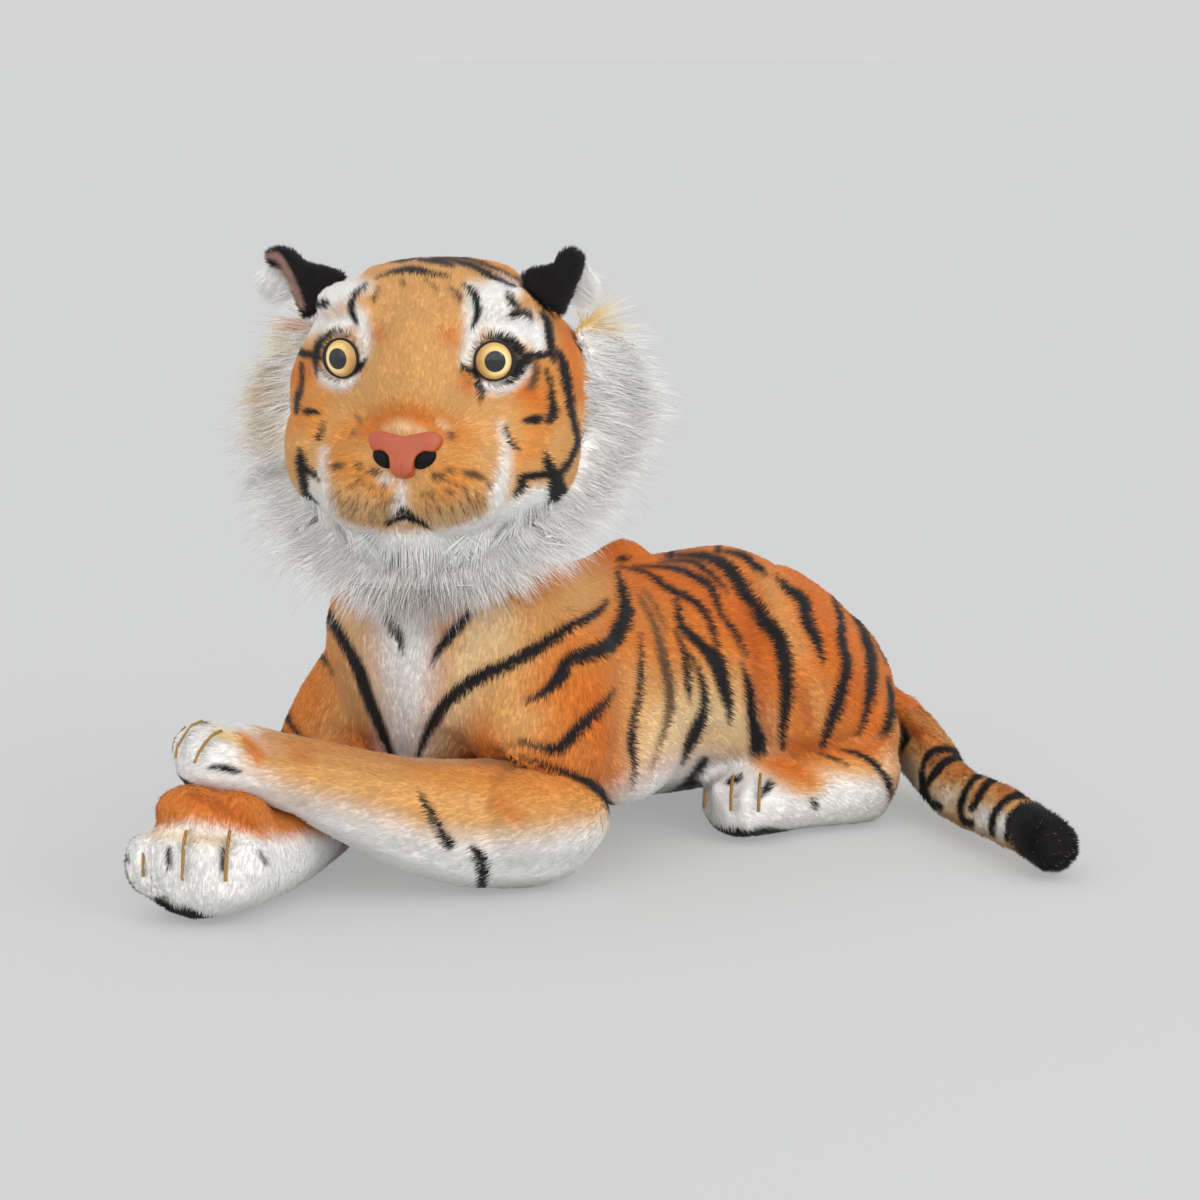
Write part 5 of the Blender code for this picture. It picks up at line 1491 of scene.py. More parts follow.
def growTail():
    places, ups = scattered(tail, tailSkin["hairs"], 51)
    draw = np.random.default_rng(52)
    ways = combed(places, ups, tailFlow(places), tailSkin["lift"], tailSkin["stray"], 53)
    hair = {
        "roots": places - ups * pileSpread["sunk"], "ways": ways, "ups": ups,
        "length": tailSkin["hairLength"] * draw.uniform(*pileSpread["length"], len(places)),
        "width": tailSkin["hairWidth"] * draw.uniform(*pileSpread["width"], len(places)),
        "dye": np.clip(dyeTail(places, ups) * draw.normal(1, pileSpread["tone"], (len(places), 1)), 0, 1),
    }
    bendTail(hairPieces("tailPile", hair, way=(1, 0, 0)))


def growTuft():
    places, ups = scattered(tail, tailSkin["tuftHairs"], 55)
    kept = places[:, 0] > tailSkin["tipStart"] + waver(places, 0.012, 56)[:, 0] * 0.003
    places, ups = places[kept], ups[kept]
    draw = np.random.default_rng(57)
    inside = places.max(0) - np.array([0.024, -0.006, 0.018])
    inside[1] = places[places[:, 0] > places[:, 0].max() - 0.01, 1].mean()
    flow = unit(places - inside) + tailFlow(places) * 0.4
    ways = combed(places, ups, flow, math.radians(52), 0.30, 58, 0.008)
    hair = {
        "roots": places - ups * pileSpread["sunk"], "ways": ways, "ups": ups,
        "length": tailSkin["tuftLength"] * draw.uniform(0.5, 1.2, len(places)),
        "width": tailSkin["tuftWidth"] * draw.uniform(*pileSpread["width"], len(places)),
        "dye": dyeTuft(places, ups),
    }
    rideAll(hairPieces("tailTuft", hair, way=(1, 0, 0)), "tail_end")


growTail()
growTuft()
print("tail grown")

# ---------- ears ----------

earShape = {
    # the black backs, as pixels of the photograph
    "outlines": {
        "right": [(343, 276), (336, 289), (323, 303), (307, 317), (300, 305), (295, 291), (289, 277),
                  (282, 267),
                  (272, 264), (268, 258), (270, 252), (278, 249), (288, 250), (296, 255), (303, 262),
                  (313, 266),
                  (328, 269)],
        "left": [(523, 278), (528, 289), (538, 299), (551, 307), (560, 315), (567, 302), (573, 289),
                 (577, 277),
                 (582, 266), (582, 258), (578, 253), (571, 249), (563, 252), (558, 259), (552, 266),
                 (540, 269),
                 (530, 271)],
    },
    "rims": {
        "right": [[(270, 258, 2.5), (277, 257, 3.5), (283, 262, 3.5), (289, 273, 3.5), (294, 285, 4),
                   (299, 297, 4),
                   (304, 308, 3)]],
        "left": [],
    },
    "fluff": {
        # root line in pixels, and how many hairs; they lean outwards and down
        "right": ([(274, 264), (282, 268), (290, 281), (297, 294)], 1500),
        "left": ([(583, 260), (580, 275), (573, 290), (567, 303)], 600),
    },
    "thickness": 0.0085,
    "voxel": 0.0012,
    "smoothing": 8,
    "hairs": 1700000,
    "hairLength": 0.0042,
    "hairWidth": 0.0007,
    "lift": math.radians(36),
    "stray": 0.24,
    "fluffLength": 0.019,
}


def growEar(side):
    sign = 1 if side == "left" else -1
    body = f"{side}_ear"
    pivot = np.array(joints[f"{side}_ear_fold"]["pos_m"])
    toTip = np.array(sideWay * sign * 0.70 + upWay * 0.71)
    outline = fromPixels(ringed(earShape["outlines"][side]), pivot, faceWay)
    form = slab(outline, np.array(faceWay), earShape["thickness"])
    ear = fused(f"{side}EarSkin", [form], earShape["voxel"], earShape["smoothing"], 0.0002)
    coat = {"ground": "black", "layers": [("lining", 2.0, earShape["rims"][side])]}

    def dyeEar(places, ups):
        # black at the back, which faces the camera; pale lining on the side that is turned away
        away = np.clip(-towardsCamera(ups) * 3 - 0.2, 0, 1)[:, None]
        colour = painted(toPixels(places), coat)
        return colour + (np.array(dyes["pale"]) - colour) * away

    dyeSkin(ear, dyeEar(coordinates(ear), normals(ear)))
    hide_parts(f"{side}_ear_back", f"{side}_ear_lining")
    rideAll([ear], body)
    growPile(ear, f"{side}EarPile", body, earShape, dyeEar,
             lambda places: np.tile(toTip, (len(places), 1)), seed=61)
    draw = np.random.default_rng(63 + sign)
    line, count = earShape["fluff"][side]
    line = curved([(*row, 0) for row in line], 12)[:, :2]
    picked = draw.uniform(0, 1, count)
    rooted = line[(picked * (len(line) - 1)).astype(int)] + draw.normal(0, 1.4, (count, 2))
    roots = fromPixels(rooted, pivot - np.array(faceWay) * 0.003, faceWay)
    outwards = (np.array(rightWay) * sign * (0.25 + 0.9 * picked[:, None])
                - np.array(topWay) * (0.85 - 0.75 * picked[:, None]) - np.array(faceWay) * 0.25)
    fluff = {
        "roots": roots, "ways": unit(outwards + draw.normal(0, 0.22, (count, 3))),
        "ups": np.tile(-np.array(faceWay), (count, 1)),
        "length": earShape["fluffLength"] * draw.uniform(0.45, 1.1, count),
        "width": np.full(count, 0.0006), "dye": np.tile(np.array(dyes["white"]), (count, 1)), "pieces": 3,
        "droop": np.tile(np.array([0, 0, -0.15]), (count, 1)),
    }
    rideAll(hairPieces(f"{side}EarFluff", fluff), body)


growEar("left")
growEar("right")
print("ears grown")

# ---------- ruff: long pile round the face ----------

ruffCoat = {
    "ground": "white",
    "layers": [
        ("pale", 16, [[(262, 420, 10), (270, 440, 8)]]),
        ("cream", 16, [[(240, 330, 10), (252, 360, 14), (262, 396, 8)]]),
        ("yellow", 12, [[(262, 302, 10), (272, 318, 12), (276, 340, 8)]]),
        ("orange", 7, [[(293, 304, 2), (294, 325, 3)]]),
        ("yellow", 8, [[(578, 304, 8), (590, 314, 12), (602, 320, 8)]]),
        ("grey", 8, [[(262, 470, 3), (290, 470, 3)]]),
        # painted shadow: an ash-grey band low in the ruff, where it meets the body
        ("ash", 16, [[(330, 596, 4), (380, 606, 9), (430, 606, 11), (490, 602, 9), (540, 590, 5)]]),
    ],
}
ruff = {
    "nodes": {"left": "left_ruff", "right": "right_ruff", "chin": "chin_ruff"},
    "voxel": 0.0030,
    "smoothing": 10,
    "shrink": 0.0030,
    "innerShare": 0.86,          # the ground cloth reaches this share of the hair's spread
    "ringHeight": 0.085,
    "hairs": 460000,
    "hairLength": 0.034,
    "hairWidth": 0.00060,
    "lift": math.radians(14),
    "stray": 0.14,
    "darkShare": 0.12,
    "darkTips": (0.08, 0.45),     # how bright the dark hairs' tips stay
    "cheekLength": 0.8,           # the cheek's and the beard's hairs are shorter by these shares
    "beardLength": 0.85,
    "beardHairs": 620000,
    "beardTop": (0.020, 0.017),   # the beard's upper edge at the chin, and how much it rises to the jaw
    "beardDark": 0.05,
    "beardLift": math.radians(16),
    "beardStray": 0.09,
    # the cheek's hairs grow this far out, within this depth and between these heights
    "cheekSide": 0.062,
    "cheekDepth": 0.045,
    "cheekRise": (-0.01, 0.142),
    "cheekRight": 579,            # the short pile of the face ends at these columns of the photograph
    "cheekLeft": 289,
    "wisps": 900,
    "wispLength": 0.046,
}


def dyeRuff(places, ups):
    return painted(toPixels(places) + waver(places, 0.01, 8)[:, :2] * 3, ruffCoat)


def ruffFlow(places):
    measures = headMeasures(places)
    spread = unit(np.stack([measures[:, 0], measures[:, 2] - ruff["ringHeight"]], 1))
    below = np.clip(-(measures[:, 2] - 0.03) / 0.06, 0, 1)
    return (spread[:, :1] * np.array(sideWay) + spread[:, 1:] * np.array(upWay)
            - np.array(faceWay) * 0.30 * (1 - below[:, None]) + np.array(faceWay) * 0.10 * below[:, None]
            - np.array(upWay) * 0.22)


def ruffHair(places, ups, seed, length, width, darkShare):
    draw = np.random.default_rng(seed)
    count = len(places)
    ways = combed(places, ups, ruffFlow(places), ruff["lift"], ruff["stray"], seed, 0.025)
    dye = np.clip(dyeRuff(places + ways * 0.012, ups) * draw.normal(1.0, 0.06, (count, 1)), 0, 1)
    tips = dye.copy()
    dark = draw.uniform(size=count) < darkShare
    tips[dark] = tips[dark] * draw.uniform(*ruff["darkTips"], (dark.sum(), 1))
    droop = waver(places, 0.05, seed + 1) * 0.16 + np.array([0, 0, -0.14])
    return {
        "roots": places - ups * 0.001, "ways": ways, "ups": ups,
        "length": length * draw.uniform(0.5, 1.1, count),
        "width": width * draw.uniform(0.7, 1.1, count), "dye": dye, "tipDye": tips, "tipFrom": 0.72,
        "pieces": 3, "droop": droop,
    }


def growRuff(name, node, seed):
    skin = nodeCopy(node)
    spots = coordinates(skin)
    measures = headMeasures(spots)
    pull = 1 - ruff["innerShare"]
    centre = np.array(headPlace(0, 0, ruff["ringHeight"]))
    reach = np.hypot(measures[:, 0], measures[:, 2] - ruff["ringHeight"])[:, None]
    outward = spots - centre
    outward -= (outward @ np.array(faceWay))[:, None] * np.array(faceWay)
    setCoordinates(skin, spots - outward * pull * np.clip((reach - 0.08) / 0.04, 0, 1))
    skin = fused(f"{name}RuffSkin", [skin], ruff["voxel"], ruff["smoothing"], ruff["shrink"])
    dyeSkin(skin, dyeRuff(coordinates(skin), normals(skin)))
    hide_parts(node)
    rideAll([skin], "head")
    places, ups = scattered(skin, ruff["hairs"], seed)
    hair = ruffHair(places, ups, seed, ruff["hairLength"], ruff["hairWidth"], ruff["darkShare"])
    rideAll(hairPieces(f"{name}Ruff", hair, way=tuple(sideWay)), "head")
    draw = np.random.default_rng(seed + 5)
    few = draw.choice(len(places), min(ruff["wisps"] // 3, len(places)), replace=False)
    wisps = ruffHair(places[few], ups[few], seed + 6, ruff["wispLength"], ruff["hairWidth"] * 0.75, 0.7)
    rideAll(hairPieces(f"{name}Wisps", wisps), "head")


def growCheekRuff():
    # the ruff's first rows grow from the cover behind the cheeks
    def behindCheeks(places, ups):
        measures = headMeasures(places)
        across = toPixels(places)[:, 0]
        rim = (across > ruff["cheekRight"]) | (across < ruff["cheekLeft"]) | (towardsCamera(ups) < 0)
        bottom, top = ruff["cheekRise"]
        found = (np.abs(measures[:, 0]) > ruff["cheekSide"]) & (np.abs(measures[:, 1]) < ruff["cheekDepth"])
        return (found & (measures[:, 2] > bottom) & (measures[:, 2] < top) & rim).astype(float)

    places, ups = scattered(tigerHead, ruff["hairs"], 101, behindCheeks)
    length = ruff["hairLength"] * ruff["cheekLength"]
    hair = ruffHair(places, ups, 102, length, ruff["hairWidth"], ruff["darkShare"])
    rideAll(hairPieces("cheekRuff", hair, way=tuple(sideWay)), "head")


def growBeard():
    # long soft hairs hide the seam between the chin and the ruff
    def underJaw(places, ups):
        measures = headMeasures(places)
        low, rise = ruff["beardTop"]
        edge = low + rise * np.clip((np.abs(measures[:, 0]) - 0.040) / 0.03, 0, 1)
        found = (measures[:, 1] > 0.015) & (measures[:, 2] < edge) & (ups @ np.array(upWay) > -0.9)
        return found.astype(float)

    places, ups = scattered(tigerHead, ruff["beardHairs"], 111, underJaw)
    measures = headMeasures(places)
    length = ruff["hairLength"] * ruff["beardLength"]
    hair = ruffHair(places, ups, 112, length, ruff["hairWidth"], ruff["beardDark"])
    flow = (np.array(sideWay) * measures[:, :1] * 7 - np.array(upWay) * 0.8 + np.array(faceWay) * 0.25)
    hair["ways"] = combed(places, ups, flow, ruff["beardLift"], ruff["beardStray"], 113, 0.03)
    rideAll(hairPieces("beard", hair, way=tuple(sideWay)), "head")


growCheekRuff()
growBeard()
for name, seed in (("left", 71), ("right", 81), ("chin", 91)):
    growRuff(name, ruff["nodes"][name], seed)
print("ruff grown")

# ---------- neck ----------

neckSkin = {"voxel": 0.003, "smoothing": 10, "shrink": 0.0020, "hairs": 420000, "hairLength": 0.013,
            "hairWidth": 0.00095, "lift": math.radians(36), "stray": 0.22}
neckForm = fused("neckSkin", [nodeCopy("neck")], neckSkin["voxel"], neckSkin["smoothing"], neckSkin["shrink"])


def dyeNeck(places, ups):
    # white under the jaw, orange at the nape
    away = np.clip(-towardsCamera(ups) * 2 + 0.2, 0, 1)[:, None]
    return np.array(dyes["white"]) * (1 - away) + np.array(dyes["orange"]) * away


dyeSkin(neckForm, dyeNeck(coordinates(neckForm), normals(neckForm)))
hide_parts("neck")
rideAll([neckForm], "neck")
growPile(neckForm, "neckPile", "neck", neckSkin, dyeNeck,
         lambda places: np.tile([0.0, 0.2, -1.0], (len(places), 1)), seed=95)

# ---------- eyes ----------

eyeLook = {
    "radius": 0.0112,
    "bulge": 0.0060,
    "pupilShare": 0.56,
    "iris": (0.78, 0.54, 0.18),
    "irisEdge": (0.56, 0.35, 0.11),
    # inner is painted shade on the iris's nose side; glow is a painted pool of light near the pupil, low on
    # the outer side
    "inner": (0.46, 0.25, 0.075),
    "glow": (0.90, 0.78, 0.46),
    "pupil": (0.012, 0.013, 0.014),
    "rim": (0.02, 0.017, 0.016),
    "coatRoughness": 0.06,
}
lidShape = {"ring": 0.0114, "thick": 0.0008, "corner": 1.6, "ahead": 0.0008}


def makeEyeLook():
    # painted iris under clear plastic: a dark pupil, a pale ring that deepens at its edge, painted shade on
    # its nose side and a painted pool of light near the pupil on its lower outer side
    look = Look("eyePaint")
    ring = look.attribute("ring", output=2)
    inner = look.attribute("inner", output=2)
    glow = look.attribute("glow", output=2)
    fibres = look.clouds(1400, detail=3.0)
    iris = look.mixed(between(look, ring, 0.70, 0.90), eyeLook["iris"], eyeLook["irisEdge"])
    # painted shade on the nose side, then a painted pool of light near the pupil
    iris = look.mixed(inner, iris, eyeLook["inner"])
    iris = look.mixed(glow * (1.0 - between(look, ring, 0.66, 0.86)), iris, eyeLook["glow"])
    iris = look.mixed(fibres * 0.25, iris, eyeLook["irisEdge"])
    pupil = look.mixed(between(look, ring, eyeLook["pupilShare"] - 0.02, eyeLook["pupilShare"] + 0.02),
                       eyeLook["pupil"], iris)
    whole = look.mixed(between(look, ring, 0.955, 0.98), pupil, eyeLook["rim"])
    return look.surface(Base_Color=whole, Roughness=0.5, Specular_IOR_Level=0.1, Coat_Weight=1.0,
                        Coat_Roughness=eyeLook["coatRoughness"], Coat_IOR=1.42)


eyeMaterial = makeEyeLook()


def makeEye(side):
    rim, way = eyes[side]
    deselect()
    bpy.ops.mesh.primitive_uv_sphere_add(segments=64, ring_count=48, radius=1)
    eye = bpy.context.active_object
    eye.name = f"{side}Eye"
    spots = coordinates(eye)
    across = unit(np.cross([0, 0, 1.0], way))
    up = np.cross(way, across)
    ring = np.hypot(spots[:, 0], spots[:, 1])
    ring = np.where(spots[:, 2] < 0, 1.0, ring)
    towardsNose = spots[:, 0] * (-1 if side == "left" else 1)
    depth = np.where(spots[:, 2] > 0, eyeLook["bulge"], 0.004) * spots[:, 2]
    placed = (rim - up * eyeDrop + (spots[:, :1] * across + spots[:, 1:2] * up) * eyeLook["radius"]
              + depth[:, None] * way)
    setCoordinates(eye, placed)
    # painted light low on the outer side of the iris, painted shade on its nose side
    glow = np.clip(-towardsNose * 0.9 - spots[:, 1] * 0.6, 0, 1)
    inner = np.clip(towardsNose * 1.5 - 0.25, 0, 1)
    for name, value in (("ring", ring), ("inner", inner), ("glow", glow)):
        eye.data.attributes.new(name, "FLOAT", "POINT").data.foreach_set("value", value)
    eye.data.materials.append(eyeMaterial)
    choose(eye)
    bpy.ops.object.shade_smooth()
    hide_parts(f"{side}_eye_dome", f"{side}_eye_iris", f"{side}_eye_pupil")
    rideAll([eye], "head")


def makeLidLook():
    # black flock round each eye
    look = Look("lidFlock")
    clouds = look.clouds(1800, detail=3.0)
    return look.surface(Base_Color=look.mixed(clouds, dyes["black"], (0.035, 0.030, 0.029)),
                        Roughness=0.7 + clouds * 0.2, Normal=look.bump(clouds, 0.7, 0.0004),
                        Specular_IOR_Level=0.2)


lidMaterial = makeLidLook()


def makeLid(side):
    # the dark rim that the fur ends at, thicker at the outer corner
    rim, way = eyes[side]
    deselect()
    bpy.ops.mesh.primitive_torus_add(major_segments=96, minor_segments=16, major_radius=lidShape["ring"],
                                     minor_radius=lidShape["thick"])
    lid = bpy.context.active_object
    lid.name = f"{side}Lid"
    spots = coordinates(lid)
    middle = np.concatenate([unit(spots[:, :2]) * lidShape["ring"], np.zeros((len(spots), 1))], 1)
    outer = np.clip(middle[:, 0] / lidShape["ring"] * (1 if side == "left" else -1), 0, 1)
    spots = middle + (spots - middle) * (1 + lidShape["corner"] * outer ** 2)[:, None]
    across = unit(np.cross([0, 0, 1.0], way))
    up = np.cross(way, across)
    setCoordinates(lid, rim - up * eyeDrop + spots[:, :1] * across + spots[:, 1:2] * up
                   + (spots[:, 2:] + lidShape["ahead"]) * way)
    lid.data.materials.append(lidMaterial)
    choose(lid)
    bpy.ops.object.shade_smooth()
    rideAll([lid], "head")


for eyeSide in ("left", "right"):
    makeEye(eyeSide)
    makeLid(eyeSide)
print("eyes set")

# ---------- nose ----------

noseShape = {
    "voxel": 0.0006,
    "smoothing": 16,
    "centre": (0.0, 0.1280, 0.0690),
    "tilt": math.radians(20),
    "depth": 0.024,
    "wrap": 11.0,                # how the wings lean back with the square of the distance
    # half of the outline from the top notch round to the foot, in millimetres
    "outline": [(0, 10.4), (9.4, 12.8), (17, 14.4), (21.2, 12), (21.2, 7.2), (17.8, 2.6), (12.4, 2.2),
                (8.0, -1.4), (6.9, -7.0), (5.6, -11.2), (1.2, -12.8)],
    "nostrils": [
        # side, front, up, size across, out and up, then the roll
        (0.0114, 0.1185, 0.0652, 0.0165, 0.0170, 0.0118, -32),
        (-0.0114, 0.1185, 0.0652, 0.0165, 0.0170, 0.0118, 32),
    ],
    "colour": (0.41, 0.075, 0.024),
    "darker": (0.34, 0.060, 0.020),
}


def noseLobes(rows):
    made = []
    for row in rows:
        turn = (headTurn().to_matrix() @ Matrix.Rotation(math.radians(row[6]), 3, "Y")).to_euler()
        made.append(lump(headPlace(*row[:3]), row[3:6], turn=turn, segments=32))
    return made


def makeNoseLook():
    # moulded soft vinyl: faint mottling and a fine grain
    look = Look("coralVinyl")
    clouds = look.clouds(160, detail=3.0)
    grain = look.clouds(2600, detail=2.0)
    return look.surface(Base_Color=look.mixed(clouds * 0.7, noseShape["colour"], noseShape["darker"]),
                        Roughness=0.34 + clouds * 0.14, Normal=look.bump(grain, 0.25, 0.0003),
                        Subsurface_Weight=0.0, Specular_IOR_Level=0.5)


def makeNostrilLook():
    look = Look("nostrilBlack")
    clouds = look.clouds(300)
    return look.surface(Base_Color=look.mixed(clouds, (0.004, 0.0035, 0.0035), (0.010, 0.009, 0.009)),
                        Roughness=0.7 + clouds * 0.2, Specular_IOR_Level=0.15)


def noseSlab():
    half = curved([(*row, 0) for row in noseShape["outline"]], 5)[:, :2] / 1000
    whole = np.vstack([half, (half * (-1, 1))[:0:-1]])
    return slab(np.column_stack([whole, np.zeros(len(whole))]), np.array((0, 0, 1.0)), noseShape["depth"])


def shapeNose(nose):
    # pillowed lobes, a groove down the stem, wings that lean back, then the tilt and the place on the face
    spots = coordinates(nose)
    side, up, out = spots[:, 0], spots[:, 1], spots[:, 2] - noseShape["depth"] / 2
    front = np.clip(1 + out / 0.010, 0, 1)
    out = out + 0.0016 * front * np.exp(-((np.abs(side) - 0.014) / 0.006) ** 2
                                        - ((up - 0.0085) / 0.0045) ** 2)
    out = out + 0.0012 * front * np.exp(-(side / 0.006) ** 2 - ((up + 0.006) / 0.006) ** 2)
    out = out - 0.0010 * front * np.exp(-(side / 0.0007) ** 2) * np.clip((-up - 0.002) / 0.006, 0, 1)
    out = out - noseShape["wrap"] * side ** 2 - 26 * np.clip(-up - 0.004, 0, 1) ** 2
    tilt = noseShape["tilt"]
    rise = np.array(upWay * math.cos(tilt) - faceWay * math.sin(tilt))
    ahead = np.array(faceWay * math.cos(tilt) + upWay * math.sin(tilt))
    setCoordinates(nose, np.array(headPlace(*noseShape["centre"])) + side[:, None] * np.array(sideWay)
                   + up[:, None] * rise + out[:, None] * ahead)


nose = fused("noseForm", [noseSlab()], noseShape["voxel"], noseShape["smoothing"], 0.0)
shapeNose(nose)
nose.data.materials.append(makeNoseLook())
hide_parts("nose")
nostrils = joined("nostrils", noseLobes(noseShape["nostrils"]))
nostrils.data.materials.clear()
nostrils.data.materials.append(makeNostrilLook())
choose(nostrils)
bpy.ops.object.shade_smooth()
rideAll([nose, nostrils], "head")
print("nose set")

# ---------- mouth: black stitches under a fringe of lip hairs ----------

mouthCoat = {"hairs": 2600000, "hairLength": 0.0034, "hairWidth": 0.0006, "lift": math.radians(30),
             "stray": 0.3}
fringe = {
    "hairs": 800000,
    "hairLength": 0.0085,
    "hairWidth": 0.00060,
    "edge": (0.0345, 0.010),       # the muzzle's lower edge, and how much it rises to its sides
    "sides": (0.005, 0.046),
    "ahead": 0.078,
    "band": 0.007,
}
mouth = fused("mouthForm", [nodeCopy("mouth_stitch")], 0.0006, 6, 0.0002)


def dyeMouth(places, ups):
    return np.tile(np.array(dyes["black"]), (len(places), 1))


def growFringe():
    # longer brown-tipped hairs hang from the muzzle's lower edge
    def lipEdge(places, ups):
        measures = headMeasures(places)
        low, rise = fringe["edge"]
        inner, outer = fringe["sides"]
        side = np.abs(measures[:, 0])
        edge = low + rise * np.clip(side / 0.048, 0, 1) ** 2
        found = (measures[:, 1] > fringe["ahead"]) & (side < outer) & (side > inner)
        return (found & (np.abs(measures[:, 2] - edge) < fringe["band"])).astype(float)

    places, ups = scattered(tigerHead, fringe["hairs"], 201, lipEdge)
    measures = headMeasures(places)
    draw = np.random.default_rng(202)
    count = len(places)
    flow = (np.sign(measures[:, :1]) * np.array(sideWay) * 0.45 - np.array(upWay)
            + np.array(faceWay) * 0.15)
    dye = dyeHead(places, ups) * draw.normal(1, 0.07, (count, 1))
    tips = dye * np.where(draw.uniform(size=(count, 1)) < 0.3, draw.uniform(0.2, 0.5, (count, 1)), 0.92)
    hair = {
        "roots": places - ups * 0.0005, "ways": combed(places, ups, flow, math.radians(20), 0.22, 203, 0.012),
        "ups": ups, "length": fringe["hairLength"] * draw.uniform(0.5, 1.1, count),
        "width": fringe["hairWidth"] * draw.uniform(0.8, 1.1, count), "dye": np.clip(dye, 0, 1),
        "tipDye": np.clip(tips, 0, 1), "tipFrom": 0.45, "pieces": 3,
        "droop": np.tile([0, 0, -0.12], (count, 1)),
    }
    rideAll(hairPieces("muzzleFringe", hair, way=tuple(sideWay)), "head")


dyeSkin(mouth, dyeMouth(coordinates(mouth), None))
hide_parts("mouth_stitch")
rideAll([mouth], "head")
growPile(mouth, "mouthPile", "head", mouthCoat, dyeMouth,
         lambda places: np.tile(np.array(-upWay + faceWay * 0.3), (len(places), 1)), seed=211)
growFringe()
print("mouth made")

# ---------- threads and lock washers ----------

threadLook = {"gold": (0.38, 0.22, 0.050), "goldDark": (0.20, 0.105, 0.024), "plies": 1400, "roughness": 0.5}


def makeThreadLook(name, first, second):
    # twisted plies cross the thread
    look = Look(name)
    plies = look.node("ShaderNodeTexWave", {"wave_type": "BANDS", "bands_direction": "DIAGONAL"}, output=1,
                      Vector=look.place(), Scale=threadLook["plies"] / 6, Distortion=2.0)
    return look.surface(Base_Color=look.mixed(plies, second, first),
                        Roughness=threadLook["roughness"] + plies * 0.2, Normal=look.bump(plies, 0.6, 0.0004))


goldThread = makeThreadLook("goldThread", threadLook["gold"], threadLook["goldDark"])


def makeWasherLook():
    look = Look("paleNylon")
    clouds = look.clouds(240)
    return look.surface(Base_Color=look.mixed(clouds, (0.78, 0.77, 0.72), (0.66, 0.65, 0.60)),
                        Roughness=0.4 + clouds * 0.1)


washerMaterial = makeWasherLook()


def reDress(node, material):
    thing = frame["nodes"][node]
    thing.data.materials.clear()
    thing.data.materials.append(material)


for leg in ("left_fore", "right_fore", "left_hind", "right_hind"):
    for number in (1, 2, 3):
        reDress(f"{leg}_toe_stitch_{number}", goldThread)
for side in ("left", "right"):
    reDress(f"{side}_eye_washer", washerMaterial)
print("threads dressed")

# ---------- floor, lamps and camera ----------

stageLook = {
    "floorColour": (0.650, 0.664, 0.664),
    "floorGlow": (0.545, 0.548, 0.544),
    "floorSide": 80.0,
    "floorLift": 0.60,
    "worldColour": (1.0, 1.0, 1.0),
    "worldStrength": 1.12,
    "backdrop": (0.665, 0.672, 0.668),
    # from the photograph's right, top and back to the camera, then strength and angle
    "mainLamp": (-0.30, 0.12, 1.00, 0.70, math.radians(70)),
    "fillLamp": (0.85, 0.02, 0.75, 0.85, math.radians(80)),
    "windowLamp": {"way": (0.70, 0.35, 0.75), "distance": 1.3, "size": (0.30, 0.55), "power": 1.8},
}


def makeFloor():
    deselect()
    bpy.ops.mesh.primitive_plane_add(size=stageLook["floorSide"], location=(0, 0, 0))
    floor = bpy.context.active_object
    floor.name = "floor"
    look = Look("paleFloor")
    cloth = look.node("ShaderNodeBsdfPrincipled", Base_Color=(*stageLook["floorColour"], 1), Roughness=0.9,
                      Specular_IOR_Level=0.0)
    glow = look.node("ShaderNodeEmission", Color=(*stageLook["floorGlow"], 1), Strength=1.0)
    seen = look.node("ShaderNodeLightPath", output=0) * stageLook["floorLift"]
    blend = look.tree.nodes.new("ShaderNodeMixShader")
    for socket, link in zip(blend.inputs, (seen, cloth, glow)):
        look.tree.links.new(link.socket, socket)
    look.out(Link(look, blend.outputs[0]))
    floor.data.materials.append(look.material)


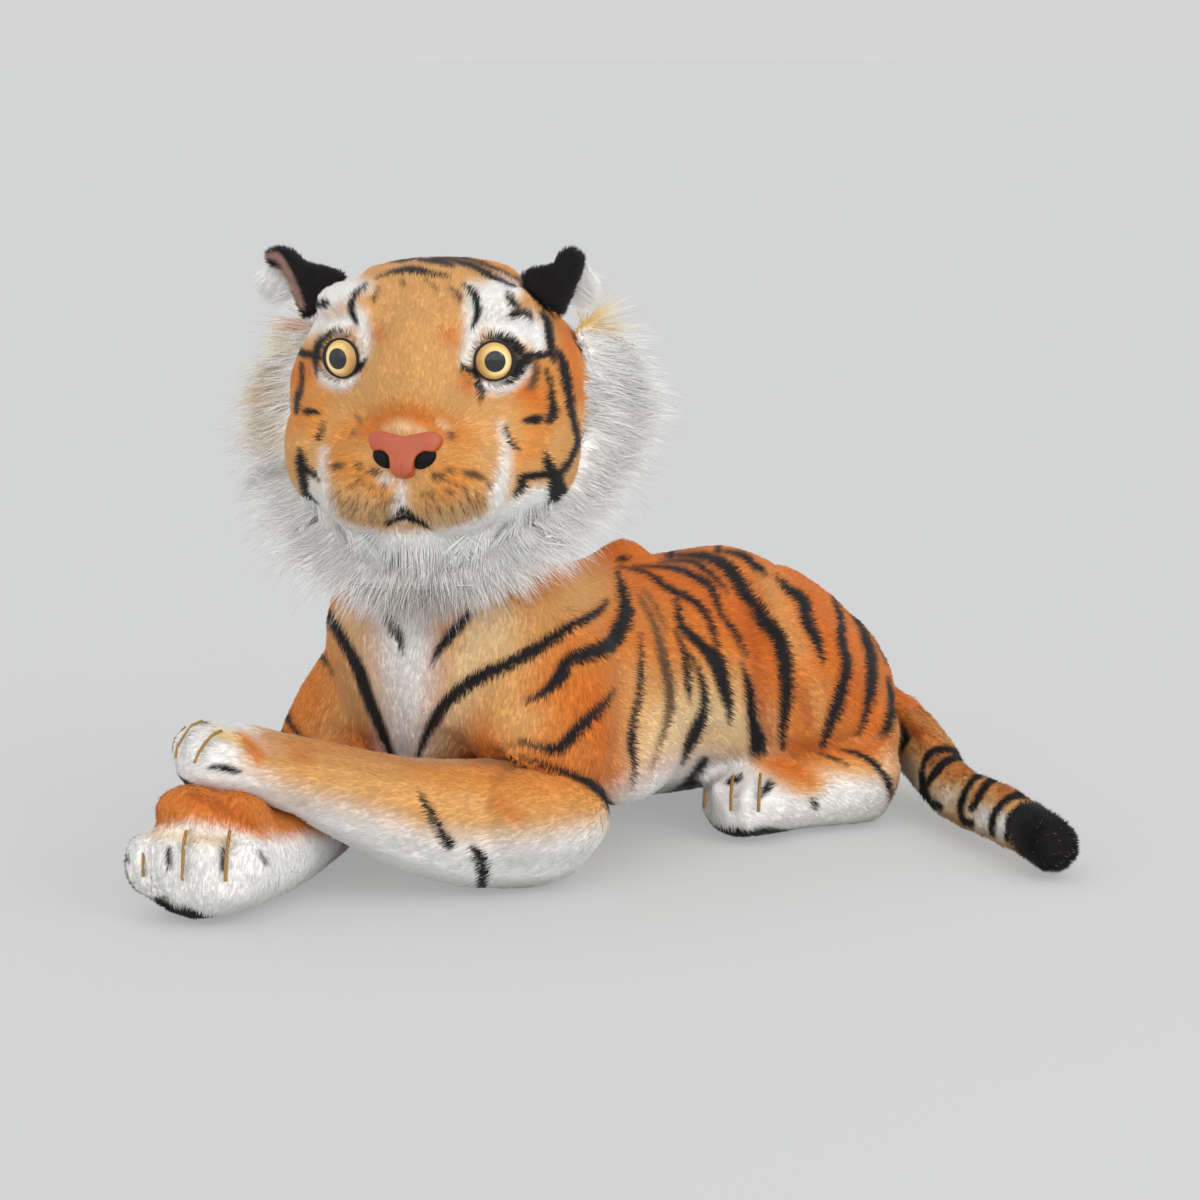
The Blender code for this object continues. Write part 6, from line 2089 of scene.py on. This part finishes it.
def makeSun(name):
    right, top, back, strength, angle = stageLook[name]
    way = rightWay * right + topWay * top + backWay * back
    deselect()
    bpy.ops.object.light_add(type="SUN", rotation=way.to_track_quat("Z", "Y").to_euler(), location=(0, 0, 2))
    lamp = bpy.context.active_object
    lamp.name = name
    lamp.data.energy = strength
    lamp.data.angle = angle


def makeWindow():
    # a soft window gives the eyes and the nose their small lights
    window = stageLook["windowLamp"]
    right, top, back = window["way"]
    way = (rightWay * right + topWay * top + backWay * back).normalized()
    middle = headPlace(0, 0.08, 0.10)
    deselect()
    bpy.ops.object.light_add(type="AREA", rotation=way.to_track_quat("Z", "Y").to_euler(),
                             location=middle + way * window["distance"])
    lamp = bpy.context.active_object
    lamp.name = "windowLamp"
    lamp.data.shape = "RECTANGLE"
    lamp.data.size, lamp.data.size_y = window["size"]
    lamp.data.energy = window["power"]


def makeWorld():
    # the room lights evenly, and is seen as a plain pale backdrop
    world = bpy.data.worlds.new("paleRoom")
    bpy.context.scene.world = world
    world.use_nodes = True
    nodes, links = world.node_tree.nodes, world.node_tree.links
    light = nodes["Background"]
    light.inputs[0].default_value = (*stageLook["worldColour"], 1)
    light.inputs[1].default_value = stageLook["worldStrength"]
    seen = nodes.new("ShaderNodeBackground")
    seen.inputs[0].default_value = (*stageLook["backdrop"], 1)
    rays, blend = nodes.new("ShaderNodeLightPath"), nodes.new("ShaderNodeMixShader")
    links.new(rays.outputs["Is Camera Ray"], blend.inputs[0])
    links.new(light.outputs[0], blend.inputs[1])
    links.new(seen.outputs[0], blend.inputs[2])
    links.new(blend.outputs[0], nodes["World Output"].inputs[0])


makeFloor()
makeSun("mainLamp")
makeSun("fillLamp")
makeWindow()
makeWorld()

deselect()
bpy.ops.object.camera_add(location=aimPoint + backWay * photoView["distance"])
camera = bpy.context.active_object
camera.name = "photoCamera"
camera.rotation_euler = backWay.to_track_quat("Z", "Y").to_euler()
camera.data.sensor_width = photoView["sensor"]
camera.data.lens = photoView["sensor"] * photoView["focalPixels"] / photoView["sidePixels"]
bpy.context.scene.camera = camera
bpy.context.scene.view_settings.view_transform = "Standard"
print("stage set")
